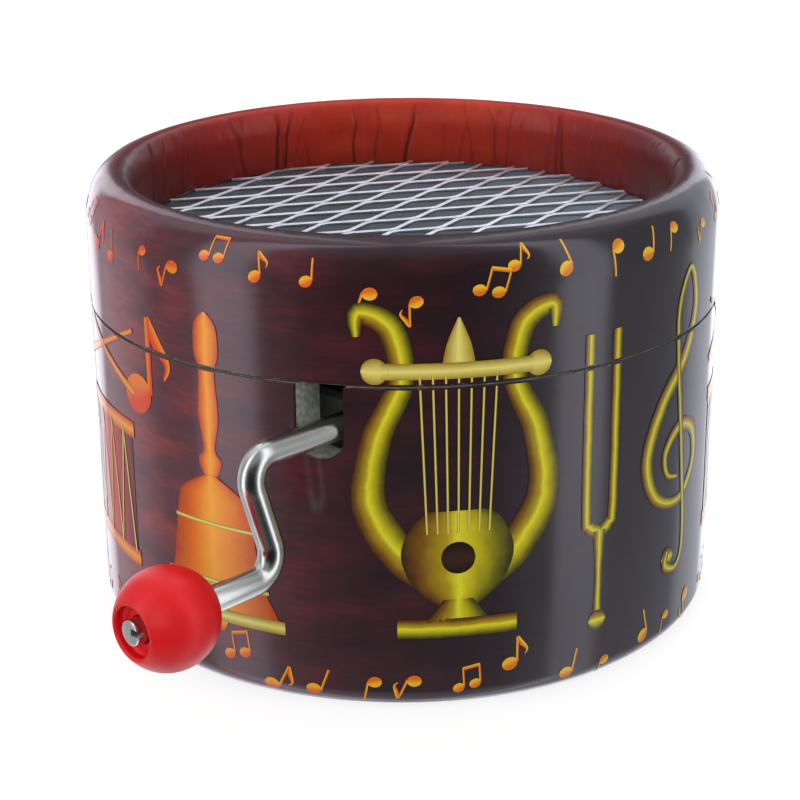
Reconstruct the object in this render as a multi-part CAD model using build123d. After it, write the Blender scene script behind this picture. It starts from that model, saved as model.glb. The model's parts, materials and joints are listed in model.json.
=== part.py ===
"""Hand-cranked pinned-cylinder music box in a round card box.

Millimetres, +Z up, origin at the centre of the base on the surface it stands on.
The crank leaves the box towards -Y; the pinned cylinder lies along X below the crank shaft.
"""

from math import atan2, cos, degrees, pi, radians, sin, sqrt, tan
import os

from build123d import *

# Round card box
BOX_RADIUS = 26.0
BOX_HEIGHT = 37.0
PAPER = 0.25                 # glued printed paper
GLUE_GAP = 0.05
LID_PLAY = 0.3               # radial play of the lid on the neck
SEAM_HEIGHT = 26.4
SEAM_GAP = 0.2
BODY_BOARD = 2.0             # wall of the body tube
NECK_BOARD = 1.7
NECK_BOTTOM = 17.0
NECK_TOP = 29.1
RIM_OUTER_WIDTH = 2.5        # the rim falls from its crown by a tight arc, then a slack one
RIM_OUTER_DROP = 3.9
RIM_OUTER_CROWN = 2.0
RIM_INNER_WIDTH = 1.4
RIM_INNER_DROP = 2.6
RIM_INNER_CROWN = 1.0
RIM_TIGHT_STEPS = 3          # facets of the tight arcs, then of the slack ones
RIM_SLACK_STEPS = 2
CORE_STEPS = 1               # facets of a tight arc on the card under the paper
FOOT_STEPS = 3               # facets of the body's rounded bottom edge
BASE_ROUND = 1.6
BASE_BOARD = 2.4
WRAP_LIFT = 0.1              # the base disc stands this far below the turned-in paper
SUPPORT_RING_WIDTH = 1.7
LID_STOP_GAP = 0.1

# Grille of expanded metal over a glossy sheet
GRILLE_TOP = 31.6
GRILLE_SHEET = 0.4
FILM = 0.2
MESH_LONG_WAY = 6.8
MESH_SHORT_WAY = 3.6
MESH_BOND = 1.2              # length of the joint between two strands
MESH_STRAND = 0.36
MESH_ANGLE = 80.0            # direction of the long way from +X

# Slot for the crank
SLOT_X = 13.5
SLOT_WIDTH = 3.2
SLOT_BOTTOM = 20.6
NECK_NOTCH_WIDTH = 10.0
NECK_NOTCH_TOP = 25.6

# Crank wire and knob
SHAFT_X = 13.73
SHAFT_Z = 22.7
WIRE_RADIUS = 1.0
WIRE_BEND = 2.0              # bend radius at the centre of the wire
SHAFT_BACK_Y = 7.8
CRANK_BEND_Y = -29.6
CRANK_ARM = 8.92             # throw of the handle
CRANK_ANGLE = 9.4            # the handle rests this far past straight down
ARM_LEAN = 1.76              # the arm leans back towards the box
KNOB_RADIUS = 3.75
KNOB_CENTRE = 10.42          # from the second bend along the handle
HANDLE_LENGTH = 13.5
KNOB_RECESS_RADIUS = 1.85
KNOB_RECESS_DEPTH = 1.5
KNOB_PLAY = 0.05
BALL_STEPS = 14              # facets from pole to pole
TIP_FLARE = 0.14
TIP_FLARE_LENGTH = 0.35
TIP_CHAMFER = 0.16
TIP_NOTCH = 0.5

# Worm and worm wheel
MODULE = 0.4
WORM_STARTS = 2
WHEEL_TEETH = 32
CENTRE_DISTANCE = 8.3
PRESSURE_ANGLE = 20.0
TOOTH_PLAY = 0.06            # taken off each flank
ADDENDUM = 0.36
DEDENDUM = 0.48
WORM_TURNS = 2               # a whole number, so a gap faces the wheel's top tooth at rest
WORM_STEPS = 16              # facets per turn of a thread
WORM_HUB_RADIUS = 1.36
WORM_HUB_PLAY = 0.2          # end play between the bearing walls
WHEEL_WIDTH = 3.2
WHEEL_HUB_RADIUS = 3.0

# Pinned cylinder
CYLINDER_Y = -4.5
CYLINDER_RADIUS = 5.6
CYLINDER_WALL = 0.5
CYLINDER_HALF = 9.6
CAP_THICKNESS = 1.2
ARBOR_RADIUS = 0.8
PIN_RADIUS = 0.2
PIN_HEIGHT = 0.5
PIN_BEATS = 44
PIN_ARC = 318.0              # the rest of the turn is bare between two plays

# Comb
NOTES = 18
NOTE_PITCH = 1.0
TOOTH_WIDTH = 0.72
TOOTH_THICKNESS = 0.4
COMB_THICKNESS = 0.9
COMB_BACK_Y = 16.0
COMB_BASS_ROOT_Y = 11.0
COMB_TREBLE_ROOT_Y = 7.0
COMB_TIP_GAP = 0.15
COMB_SCREW_X = 5.5
COMB_SCREW_Y = 13.2
WEIGHTED_TEETH = 6

# Cast bedplate and sheet bracket
BED_THICKNESS = 2.2
BED_EDGE_RADIUS = 22.6
BED_LEFT_X = -17.5
BED_RIGHT_X = 19.6
BED_FRONT_Y = -16.4
BED_BACK_Y = 16.8
EAR_THICKNESS = 2.0
EAR_RADIUS = 3.2
LEFT_EAR_X = -11.8
RIGHT_EAR_X = 17.4
BEARING_PLAY = 0.04
BRACKET_SHEET = 1.2
BRACKET_FRONT_Y = -15.2
BRACKET_BACK_Y = 5.4
BRACKET_LEFT_X = 10.6
BRACKET_RIGHT_X = 15.8
FRONT_WALL_LEFT_X = 2.0
FRONT_WALL_TOP = 22.0
BRACKET_EAR_RADIUS = 3.2
BUSH_RADIUS = 1.6
BUSH_FLANGE_RADIUS = 2.3
BUSH_FLANGE = 0.6
BASE_SCREW_PLACES = ((-15.0, 8.0), (-8.0, -12.2), (14.2, 11.8))
BASE_SCREW_RADIUS = 0.95
BASE_SCREW_HEAD = 1.9
BASE_SCREW_SINK = 0.1        # the head lies this far above the underside
BASE_SCREW_CONE = 0.9        # height of the countersunk head
BASE_SCREW_REACH = 1.2       # into the bosses of the bedplate
BASE_HOLE_PLAY = 0.1
BOSS_RADIUS = 2.2
BOSS_HEIGHT = 1.8
SCREW_SLOT = 0.4
# Head radius, head height, shank radius and length below the head
BRACKET_SCREW = (1.6, 0.9, 0.8, 2.8)
COMB_SCREW = (1.8, 1.1, 0.9, 5.0)
COLLAR_RADIUS = 2.0
COLLAR_LENGTH = 1.0
COLLAR_GAP = 0.2
BRACKET_SCREW_PLACES = ((13.2, -12.2), (13.2, 2.4))

# Worked out from the dimensions above
LID_BOTTOM = SEAM_HEIGHT + SEAM_GAP / 2
BODY_TOP = SEAM_HEIGHT - SEAM_GAP / 2
CROWN_RADIUS = BOX_RADIUS - RIM_OUTER_WIDTH
WELL_RADIUS = CROWN_RADIUS - RIM_INNER_WIDTH
CORE_RADIUS = BOX_RADIUS - PAPER
BODY_BORE = CORE_RADIUS - BODY_BOARD
NECK_RADIUS = BODY_BORE - GLUE_GAP
LID_BORE = NECK_RADIUS + LID_PLAY
RING_BOTTOM = NECK_TOP + LID_STOP_GAP
WELL_BORE = WELL_RADIUS + PAPER
FILM_TOP = GRILLE_TOP - GRILLE_SHEET
FILM_BOTTOM = FILM_TOP - FILM
CYLINDER_Z = SHAFT_Z - CENTRE_DISTANCE
WHEEL_PITCH_RADIUS = MODULE * WHEEL_TEETH / 2
WORM_PITCH_RADIUS = CENTRE_DISTANCE - WHEEL_PITCH_RADIUS
WORM_LEAD = pi * MODULE * WORM_STARTS
WORM_LENGTH = WORM_TURNS * WORM_LEAD
BED_TOP = BASE_BOARD + BED_THICKNESS
COMB_BOTTOM = CYLINDER_Z - COMB_THICKNESS / 2
COMB_TIP_Y = CYLINDER_Y + CYLINDER_RADIUS + PIN_HEIGHT + COMB_TIP_GAP
HANDLE_X = SHAFT_X + CRANK_ARM * sin(radians(CRANK_ANGLE))
HANDLE_Z = SHAFT_Z - CRANK_ARM * cos(radians(CRANK_ANGLE))
HANDLE_BEND_Y = CRANK_BEND_Y + ARM_LEAN
KNOB_Y = HANDLE_BEND_Y - KNOB_CENTRE
WIRE_END_Y = HANDLE_BEND_Y - HANDLE_LENGTH
RECESS_FLOOR_Y = KNOB_Y - KNOB_RADIUS + KNOB_RECESS_DEPTH
FAR = 100.0


def box(x0, x1, y0, y1, z0, z1):
    """A block between two corners."""
    middle = Pos((x0 + x1) / 2, (y0 + y1) / 2, (z0 + z1) / 2)
    return middle * Box(x1 - x0, y1 - y0, z1 - z0)


def disc(radius, bottom, top, x=0.0, y=0.0):
    """An upright cylinder."""
    return Pos(x, y, (bottom + top) / 2) * Cylinder(radius, top - bottom)


def ring(inner, outer, bottom, top):
    """An upright tube."""
    return disc(outer, bottom, top) - disc(inner, bottom - 1, top + 1)


def rod_x(radius, x0, x1, y, z):
    """A cylinder along X."""
    return Pos((x0 + x1) / 2, y, z) * Rot(0, 90, 0) * Cylinder(radius, x1 - x0)


def rod_y(radius, y0, y1, x, z):
    """A cylinder along Y."""
    return Pos(x, (y0 + y1) / 2, z) * Rot(90, 0, 0) * Cylinder(radius, y1 - y0)


def section_block(r0, r1, z0, z1):
    """A rectangle of the box's half section, radius by height."""
    middle = Pos((r0 + r1) / 2, (z0 + z1) / 2)
    return Plane.XZ * middle * Rectangle(r1 - r0, z1 - z0)


def spin(section):
    """The ring that a half section makes round the box's axis."""
    return revolve(section, Axis.Z)


# ---- card box ----

def rim_fall(side, width, drop, crown_round, inset, tight_steps, slack_steps):
    """Points down one side of the rim, from its crown through a tight arc and then a slack one."""
    slack_round = (width**2 + drop**2 - 2 * drop * crown_round) / (2 * (width - crown_round))
    join = atan2(drop - crown_round, slack_round - width)
    points = []
    for step in range(tight_steps):
        angle = pi / 2 + (join - pi / 2) * step / tight_steps
        across = (crown_round - inset) * cos(angle)
        up = (crown_round - inset) * sin(angle) - crown_round
        points.append((CROWN_RADIUS + side * across, BOX_HEIGHT + up))
    for step in range(slack_steps + 1):
        angle = join * (1 - step / slack_steps)
        across = width - slack_round + (slack_round - inset) * cos(angle)
        up = (slack_round - inset) * sin(angle) - drop
        points.append((CROWN_RADIUS + side * across, BOX_HEIGHT + up))
    return points


def outer_fall(inset, tight_steps, slack_steps):
    """The rim's outer side."""
    return rim_fall(1, RIM_OUTER_WIDTH, RIM_OUTER_DROP, RIM_OUTER_CROWN, inset, tight_steps, slack_steps)


def inner_fall(inset, tight_steps, slack_steps):
    """The rim's inner side."""
    return rim_fall(-1, RIM_INNER_WIDTH, RIM_INNER_DROP, RIM_INNER_CROWN, inset, tight_steps, slack_steps)


def rim_section(foot):
    """Half section of the finished rim, from its crown down to a foot."""
    down = outer_fall(0, RIM_TIGHT_STEPS, RIM_SLACK_STEPS) + [(BOX_RADIUS, foot), (WELL_RADIUS, foot)]
    up = inner_fall(0, RIM_TIGHT_STEPS, RIM_SLACK_STEPS)[::-1]
    return Plane.XZ * make_face(Polyline(down + up))


def core_section(foot):
    """Half section of the card under the wrap's rim, with fewer facets where the paper hides it."""
    down = outer_fall(PAPER, CORE_STEPS, 1) + [(CORE_RADIUS, foot), (WELL_BORE, foot)]
    up = inner_fall(PAPER, CORE_STEPS, 1)[::-1]
    return Plane.XZ * make_face(Polyline(down + up))


def foot_section():
    """Half section of the finished body wall with its rounded bottom edge."""
    points = [(BOX_RADIUS, BODY_TOP)]
    for step in range(FOOT_STEPS + 1):
        across, up = on_circle(BASE_ROUND, -pi / 2 * step / FOOT_STEPS)
        points.append((BOX_RADIUS - BASE_ROUND + across, WRAP_LIFT + BASE_ROUND + up))
    points += [(BODY_BORE, WRAP_LIFT), (BODY_BORE, BODY_TOP), (BOX_RADIUS, BODY_TOP)]
    return Plane.XZ * make_face(Polyline(points))


def body_core_section():
    """Half section of the card under the body's wrap, its bottom edge bevelled under the paper."""
    foot = WRAP_LIFT + PAPER
    points = [
        (CORE_RADIUS, BODY_TOP), (CORE_RADIUS, WRAP_LIFT + BASE_ROUND),
        (BOX_RADIUS - BASE_ROUND, foot), (BODY_BORE, foot), (BODY_BORE, BODY_TOP), (CORE_RADIUS, BODY_TOP),
    ]
    return Plane.XZ * make_face(Polyline(points))


def crank_slot():
    """The round-bottomed slot that the crank shaft leaves by, open at the seam."""
    radius = SLOT_WIDTH / 2
    centre_z = SLOT_BOTTOM + radius
    bottom = rod_y(radius, -BOX_RADIUS, -BOX_RADIUS / 2, SLOT_X, centre_z)
    sides = box(SLOT_X - radius, SLOT_X + radius, -BOX_RADIUS, -BOX_RADIUS / 2, centre_z, BOX_HEIGHT)
    return bottom + sides


def lid_tube():
    """Outer card tube of the lid."""
    section = core_section(LID_BOTTOM) & section_block(LID_BORE, BOX_RADIUS, 0, BOX_HEIGHT)
    return spin(section)


def rim_ring():
    """Inner card ring that thickens the rim and stops on the neck."""
    section = core_section(RING_BOTTOM) & section_block(0, LID_BORE - GLUE_GAP, 0, BOX_HEIGHT)
    return spin(section)


def lid_wrap():
    """Printed paper over the lid, folded over the rim and down to the grille."""
    section = rim_section(LID_BOTTOM) - core_section(0)
    section -= section_block(0, CROWN_RADIUS, 0, GRILLE_TOP)
    return spin(section)


def support_ring():
    """Card ring under the sheet and grille."""
    return ring(WELL_BORE - SUPPORT_RING_WIDTH, WELL_BORE - GLUE_GAP, RING_BOTTOM, FILM_BOTTOM)


def film_disc():
    """Glossy sheet under the grille."""
    return disc(WELL_BORE - GLUE_GAP, FILM_BOTTOM, FILM_TOP)


def mesh_opening():
    """One opening of the expanded metal: a hexagon, long way along X."""
    run = MESH_LONG_WAY / 2 - MESH_BOND
    rise = MESH_SHORT_WAY / 2
    strand_across = MESH_STRAND / 2 * sqrt(run * run + rise * rise) / rise
    half_long = MESH_LONG_WAY / 2 - MESH_BOND / 2 - strand_across
    half_short = (MESH_SHORT_WAY - MESH_STRAND) / 2
    corner = half_long - half_short * run / rise
    return Polygon(
        (half_long, 0),
        (corner, half_short),
        (-corner, half_short),
        (-half_long, 0),
        (-corner, -half_short),
        (corner, -half_short),
        align=None,
    )


def grille():
    """Disc of expanded metal with staggered diamond openings."""
    reach = WELL_RADIUS - MESH_LONG_WAY / 2
    rows = int(2 * BOX_RADIUS / MESH_SHORT_WAY) + 2
    columns = int(2 * BOX_RADIUS / MESH_LONG_WAY) + 2
    places = []
    for row in range(-rows, rows + 1):
        for column in range(-columns, columns + 1):
            x = (column + (row % 2) / 2) * MESH_LONG_WAY
            y = row * MESH_SHORT_WAY / 2
            if sqrt(x * x + y * y) < reach:
                places.append((x, y))
    sheet = Circle(WELL_BORE - GLUE_GAP) - Locations(*places) * mesh_opening()
    return Pos(0, 0, FILM_TOP) * Rot(0, 0, MESH_ANGLE) * extrude(sheet, GRILLE_SHEET)


def body_tube():
    """Card tube of the body with the crank slot."""
    return spin(body_core_section()) - crank_slot()


def body_wrap():
    """Printed paper on the body, turned under its bottom edge."""
    return spin(foot_section() - body_core_section()) - crank_slot()


def neck_ring():
    """Card collar glued in the body, which the lid slides over; notched for the crank."""
    collar = ring(NECK_RADIUS - NECK_BOARD, NECK_RADIUS, NECK_BOTTOM, NECK_TOP)
    half = NECK_NOTCH_WIDTH / 2
    notch = box(SHAFT_X - half, SHAFT_X + half, -FAR, -BOX_RADIUS / 4, NECK_BOTTOM - 1, NECK_NOTCH_TOP)
    return collar - notch


def base_disc():
    """Card disc that closes the bottom and carries the works, with a countersunk hole for each screw."""
    board = disc(BODY_BORE - GLUE_GAP, 0, BASE_BOARD)
    hole = BASE_SCREW_RADIUS + BASE_HOLE_PLAY
    rim = BASE_SCREW_HEAD + BASE_HOLE_PLAY
    for x, y in BASE_SCREW_PLACES:
        board -= disc(hole, -FAR, FAR, x, y)
        board -= Pos(x, y, BASE_SCREW_SINK + BASE_SCREW_CONE / 2) * Cone(rim, hole, BASE_SCREW_CONE)
        board -= disc(rim, -FAR, BASE_SCREW_SINK, x, y)
    return board


def base_screws():
    """Three countersunk screws up into the bedplate."""
    screws = []
    half_slot = SCREW_SLOT / 2
    neck = BASE_SCREW_SINK + BASE_SCREW_CONE
    for x, y in BASE_SCREW_PLACES:
        screw = disc(BASE_SCREW_RADIUS, neck, BED_TOP + BASE_SCREW_REACH, x, y)
        head = Cone(BASE_SCREW_HEAD, BASE_SCREW_RADIUS, BASE_SCREW_CONE)
        screw += Pos(x, y, BASE_SCREW_SINK + BASE_SCREW_CONE / 2) * head
        screw -= box(x - FAR, x + FAR, y - half_slot, y + half_slot, -FAR, BASE_SCREW_SINK + SCREW_SLOT)
        screws.append(screw)
    return screws


# ---- works ----

def bearing_ear(x):
    """Upright ear of the bedplate with the hole for the cylinder's arbor."""
    x0 = x - EAR_THICKNESS / 2
    x1 = x + EAR_THICKNESS / 2
    post = box(x0, x1, CYLINDER_Y - EAR_RADIUS, CYLINDER_Y + EAR_RADIUS, BED_TOP - 0.5, CYLINDER_Z)
    return post + rod_x(EAR_RADIUS, x0, x1, CYLINDER_Y, CYLINDER_Z)


def bedplate():
    """Cast plate with two bearing ears, the comb's pedestal and the screw bosses."""
    outline = Pos((BED_LEFT_X + BED_RIGHT_X) / 2, (BED_FRONT_Y + BED_BACK_Y) / 2) * Rectangle(
        BED_RIGHT_X - BED_LEFT_X, BED_BACK_Y - BED_FRONT_Y
    )
    plate = extrude(outline & Circle(BED_EDGE_RADIUS), BED_THICKNESS)
    bed = Pos(0, 0, BASE_BOARD) * plate
    half_comb = NOTES * NOTE_PITCH / 2 + 1
    bed += box(-half_comb, half_comb, COMB_BASS_ROOT_Y - 1.2, COMB_BACK_Y, BED_TOP - 0.5, COMB_BOTTOM)
    bed += bearing_ear(LEFT_EAR_X) + bearing_ear(RIGHT_EAR_X)
    for x, y in BASE_SCREW_PLACES:
        bed += disc(BOSS_RADIUS, BASE_BOARD, BED_TOP + BOSS_HEIGHT, x, y)
    bed -= rod_x(ARBOR_RADIUS + BEARING_PLAY, -BOX_RADIUS, BOX_RADIUS, CYLINDER_Y, CYLINDER_Z)
    for x, y in BASE_SCREW_PLACES:
        bed -= disc(BASE_SCREW_RADIUS, 0, BED_TOP + BASE_SCREW_REACH, x, y)
    for x, y in BRACKET_SCREW_PLACES:
        bed -= disc(BRACKET_SCREW[2], BED_TOP + BRACKET_SHEET - BRACKET_SCREW[3], FAR, x, y)
    for x in (-COMB_SCREW_X, COMB_SCREW_X):
        bed -= disc(COMB_SCREW[2], COMB_BOTTOM + COMB_THICKNESS - COMB_SCREW[3], FAR, x, COMB_SCREW_Y)
    return bed


def wall_outline(left, top):
    """Front view of a bracket wall, with an ear round the shaft."""
    right = SHAFT_X + BRACKET_EAR_RADIUS
    low = Pos((left + right) / 2, (BED_TOP + top) / 2) * Rectangle(right - left, top - BED_TOP)
    ear_left = SHAFT_X - BRACKET_EAR_RADIUS
    ear = Pos(SHAFT_X, (BED_TOP + SHAFT_Z) / 2) * Rectangle(right - ear_left, SHAFT_Z - BED_TOP)
    outline = low + ear + Pos(SHAFT_X, SHAFT_Z) * Circle(BRACKET_EAR_RADIUS)
    return outline - Pos(SHAFT_X, SHAFT_Z) * Circle(BUSH_RADIUS)


def crank_bracket():
    """Bent sheet with a bearing wall at each end, screwed to the bedplate."""
    front = extrude(Plane.XZ.offset(-BRACKET_FRONT_Y) * wall_outline(FRONT_WALL_LEFT_X, FRONT_WALL_TOP),
                    -BRACKET_SHEET)
    back = extrude(Plane.XZ.offset(-BRACKET_BACK_Y) * wall_outline(BRACKET_LEFT_X, SHAFT_Z),
                   BRACKET_SHEET)
    strap = box(BRACKET_LEFT_X, BRACKET_RIGHT_X, BRACKET_FRONT_Y, BRACKET_BACK_Y,
                BED_TOP, BED_TOP + BRACKET_SHEET)
    bracket = front + back + strap
    for x, y in BRACKET_SCREW_PLACES:
        bracket -= disc(0.9, 0, BED_TOP + 3, x, y)
    return bracket


def pan_screw(x, y, seat, sizes):
    """Slotted screw with its head on a seat and its shank down."""
    head_radius, head_height, shank_radius, length = sizes
    screw = disc(head_radius, seat, seat + head_height, x, y)
    screw += disc(shank_radius, seat - length, seat, x, y)
    half_slot = SCREW_SLOT / 2
    return screw - box(x - FAR, x + FAR, y - half_slot, y + half_slot, seat + head_height / 2, FAR)


def bracket_screws():
    """Two screws of the crank bracket."""
    seat = BED_TOP + BRACKET_SHEET
    return [pan_screw(x, y, seat, BRACKET_SCREW) for x, y in BRACKET_SCREW_PLACES]


def comb():
    """Steel comb: eighteen teeth, longest on the bass side."""
    half = NOTES * NOTE_PITCH / 2 + 0.3
    outline = make_face(Polyline(
        (-half, COMB_BASS_ROOT_Y), (half, COMB_TREBLE_ROOT_Y), (half, COMB_BACK_Y), (-half, COMB_BACK_Y),
        (-half, COMB_BASS_ROOT_Y),
    ))
    for x in (-COMB_SCREW_X, COMB_SCREW_X):
        outline -= Pos(x, COMB_SCREW_Y) * Circle(1.0)
    plate = Pos(0, 0, COMB_BOTTOM) * extrude(outline, COMB_THICKNESS)
    z0 = CYLINDER_Z - TOOTH_THICKNESS / 2
    for note in range(NOTES):
        x = note_x(note)
        root = COMB_BASS_ROOT_Y + (COMB_TREBLE_ROOT_Y - COMB_BASS_ROOT_Y) * (note + 1) / NOTES + 0.5
        plate += box(x - TOOTH_WIDTH / 2, x + TOOTH_WIDTH / 2, COMB_TIP_Y, root, z0, z0 + TOOTH_THICKNESS)
    return plate


def note_x(note):
    """Place of a comb tooth, and of its track of pins, along the cylinder."""
    return (note - (NOTES - 1) / 2) * NOTE_PITCH


def tuning_weights():
    """Lead weights under the bass teeth, shorter with each note."""
    weights = []
    top = CYLINDER_Z - TOOTH_THICKNESS / 2
    for note in range(WEIGHTED_TEETH):
        x = note_x(note)
        length = 4.0 - 0.4 * note
        weights.append(box(x - 0.3, x + 0.3, COMB_TIP_Y + 1, COMB_TIP_Y + 1 + length, top - 1.2, top))
    return weights


def comb_screws():
    """Two screws that clamp the comb to its pedestal."""
    seat = COMB_BOTTOM + COMB_THICKNESS
    return [pan_screw(x, COMB_SCREW_Y, seat, COMB_SCREW) for x in (-COMB_SCREW_X, COMB_SCREW_X)]


def bushing(wall_y, direction):
    """Flanged brass bush pressed through a bracket wall; its flange faces outwards."""
    inner_y = wall_y - direction * BRACKET_SHEET
    flange_y = wall_y + direction * BUSH_FLANGE
    body = rod_y(BUSH_RADIUS, min(inner_y, wall_y), max(inner_y, wall_y), SHAFT_X, SHAFT_Z)
    flange = rod_y(BUSH_FLANGE_RADIUS, min(wall_y, flange_y), max(wall_y, flange_y), SHAFT_X, SHAFT_Z)
    return body + flange - rod_y(WIRE_RADIUS + BEARING_PLAY, -FAR, FAR, SHAFT_X, SHAFT_Z)


def square_pin():
    """One steel pin, upright, its root sunk in the sleeve."""
    return extrude(RegularPolygon(PIN_RADIUS, 4), 2 * PIN_HEIGHT)


def pinned_cylinder():
    """Brass sleeve with its pins: one track per note, bare where the tune starts again."""
    sleeve = rod_x(CYLINDER_RADIUS, -CYLINDER_HALF, CYLINDER_HALF, 0, 0)
    for beat in range(PIN_BEATS):
        angle = beat * PIN_ARC / PIN_BEATS
        notes = [(beat * 5 + beat // 7) % NOTES]
        if beat % 3 == 0:
            notes.append((notes[0] + 7) % NOTES)
        for note in notes:
            pin = Pos(note_x(note), 0, CYLINDER_RADIUS - PIN_HEIGHT) * square_pin()
            sleeve += Rot(angle, 0, 0) * pin
    sleeve -= rod_x(CYLINDER_RADIUS - CYLINDER_WALL, -FAR, FAR, 0, 0)
    return Pos(0, CYLINDER_Y, CYLINDER_Z) * sleeve


def cylinder_cap(side):
    """Turned cap that closes one end of the sleeve and centres it on the arbor."""
    inner_x = side * (CYLINDER_HALF - CAP_THICKNESS)
    outer_x = side * CYLINDER_HALF
    x0 = min(inner_x, outer_x)
    x1 = max(inner_x, outer_x)
    cap = rod_x(CYLINDER_RADIUS - CYLINDER_WALL, x0, x1, CYLINDER_Y, CYLINDER_Z)
    return cap - rod_x(ARBOR_RADIUS, -FAR, FAR, CYLINDER_Y, CYLINDER_Z)


def cylinder_arbor():
    """Steel arbor through cylinder and worm wheel, running in the bedplate's ears."""
    x0 = LEFT_EAR_X - EAR_THICKNESS / 2 - 0.4
    x1 = RIGHT_EAR_X + EAR_THICKNESS / 2 + 0.4
    return rod_x(ARBOR_RADIUS, x0, x1, CYLINDER_Y, CYLINDER_Z)


def on_circle(radius, angle):
    """A point at a radius and an angle in radians."""
    return (radius * cos(angle), radius * sin(angle))


def worm_section(turned, height):
    """Points round the worm at one height: each thread is a lobe, narrowed from root to tip by its flanks."""
    half_thread = pi * MODULE / 4 - TOOTH_PLAY
    turn_per_length = 2 * pi / WORM_LEAD
    slope = tan(radians(PRESSURE_ANGLE))
    points = []
    for start in range(WORM_STARTS):
        middle = turned + start * 2 * pi / WORM_STARTS
        for rise, side in ((-DEDENDUM, -1), (ADDENDUM, -1), (ADDENDUM, 0), (ADDENDUM, 1), (-DEDENDUM, 1)):
            half_angle = (half_thread - rise * slope) * turn_per_length
            across, up = on_circle(WORM_PITCH_RADIUS + rise, middle + side * half_angle)
            points.append((across, up, height))
    return points


def flat_face(points):
    """A flat face inside a closed run of points."""
    return Face(Wire.make_polygon([Vector(*point) for point in points], close=True))


def worm_threads():
    """Solid of flat facets between turned sections, so that its surface stays light."""
    steps = WORM_TURNS * WORM_STEPS
    sections = []
    for step in range(steps + 1):
        turned = 2 * pi * WORM_TURNS * step / steps
        sections.append(worm_section(turned, WORM_LENGTH * step / steps))
    faces = [flat_face(sections[0]), flat_face(sections[-1])]
    for low, high in zip(sections, sections[1:]):
        for here in range(len(low)):
            after = (here + 1) % len(low)
            faces.append(flat_face((low[here], low[after], high[after])))
            faces.append(flat_face((low[here], high[after], high[here])))
    return Solid(Shell(faces))


def worm():
    """Two-start worm on the crank shaft, with a hub at each end that reaches to the bearing walls."""
    start = CYLINDER_Y - WORM_LENGTH / 2
    end = CYLINDER_Y + WORM_LENGTH / 2
    placed = Pos(SHAFT_X, start, SHAFT_Z) * Rot(-90, 0, 0) * worm_threads()
    front = BRACKET_FRONT_Y + BRACKET_SHEET + WORM_HUB_PLAY
    back = BRACKET_BACK_Y - BRACKET_SHEET - WORM_HUB_PLAY
    hubs = rod_y(WORM_HUB_RADIUS, front, start, SHAFT_X, SHAFT_Z)
    hubs += rod_y(WORM_HUB_RADIUS, end, back, SHAFT_X, SHAFT_Z)
    return placed + hubs - rod_y(WIRE_RADIUS, -FAR, FAR, SHAFT_X, SHAFT_Z)


def wheel_tooth(middle):
    """Outline points of one wheel tooth, straight-flanked, about an angle in radians."""
    slope = tan(radians(PRESSURE_ANGLE))
    points = []
    for height, side in ((-DEDENDUM, -1), (ADDENDUM, -1), (ADDENDUM, 1), (-DEDENDUM, 1)):
        radius = WHEEL_PITCH_RADIUS + height
        half_angle = (pi * MODULE / 4 - TOOTH_PLAY - height * slope) / WHEEL_PITCH_RADIUS
        points.append(on_circle(radius, middle + side * half_angle))
    return points


def worm_wheel():
    """Moulded wheel with teeth at the worm's lead angle, and a hub to the cylinder."""
    outline = []
    for tooth in range(WHEEL_TEETH):
        outline += wheel_tooth(2 * pi * tooth / WHEEL_TEETH)
    outline.append(outline[0])
    lean = degrees(WHEEL_WIDTH * WORM_LEAD / (2 * pi * WORM_PITCH_RADIUS * WHEEL_PITCH_RADIUS))
    face = make_face(Polyline(outline)).face()
    teeth = Solid.extrude_linear_with_rotation(face, (0, 0, 0), (0, 0, WHEEL_WIDTH), lean)
    start = SHAFT_X - WHEEL_WIDTH / 2
    gear = Pos(start, CYLINDER_Y, CYLINDER_Z) * Rot(0, 90, 0) * Rot(0, 0, -lean / 2) * teeth
    hub = rod_x(WHEEL_HUB_RADIUS, CYLINDER_HALF, start + 0.5, CYLINDER_Y, CYLINDER_Z)
    return gear + hub - rod_x(ARBOR_RADIUS, -FAR, FAR, CYLINDER_Y, CYLINDER_Z)


def crank_wire():
    """One wire: shaft, arm and handle, with a staked tip that keeps the knob on."""
    corners = (
        (SHAFT_X, SHAFT_BACK_Y, SHAFT_Z),
        (SHAFT_X, CRANK_BEND_Y, SHAFT_Z),
        (HANDLE_X, HANDLE_BEND_Y, HANDLE_Z),
        (HANDLE_X, WIRE_END_Y, HANDLE_Z),
    )
    path = FilletPolyline(*corners, radius=WIRE_BEND)
    start = Plane(origin=corners[0], z_dir=(0, -1, 0))
    wire = sweep(start * Circle(WIRE_RADIUS), path)
    flare_y = WIRE_END_Y + TIP_CHAMFER
    flare = Cone(WIRE_RADIUS, WIRE_RADIUS + TIP_FLARE, TIP_FLARE_LENGTH)
    wire += Pos(HANDLE_X, flare_y + TIP_FLARE_LENGTH / 2, HANDLE_Z) * Rot(90, 0, 0) * flare
    chamfer = TIP_CHAMFER * 2
    corner_ring = rod_y(WIRE_RADIUS * 2, WIRE_END_Y - 1, flare_y, HANDLE_X, HANDLE_Z)
    tip = Cone(WIRE_RADIUS + TIP_FLARE, WIRE_RADIUS + TIP_FLARE - chamfer, TIP_CHAMFER)
    corner_ring -= Pos(HANDLE_X, WIRE_END_Y + TIP_CHAMFER / 2, HANDLE_Z) * Rot(90, 0, 0) * tip
    wire -= corner_ring
    notch = Pos(HANDLE_X, WIRE_END_Y, HANDLE_Z) * Rot(0, 35, 0) * Rot(0, 0, 45) * Box(TIP_NOTCH, TIP_NOTCH, 4)
    return wire - notch


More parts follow.
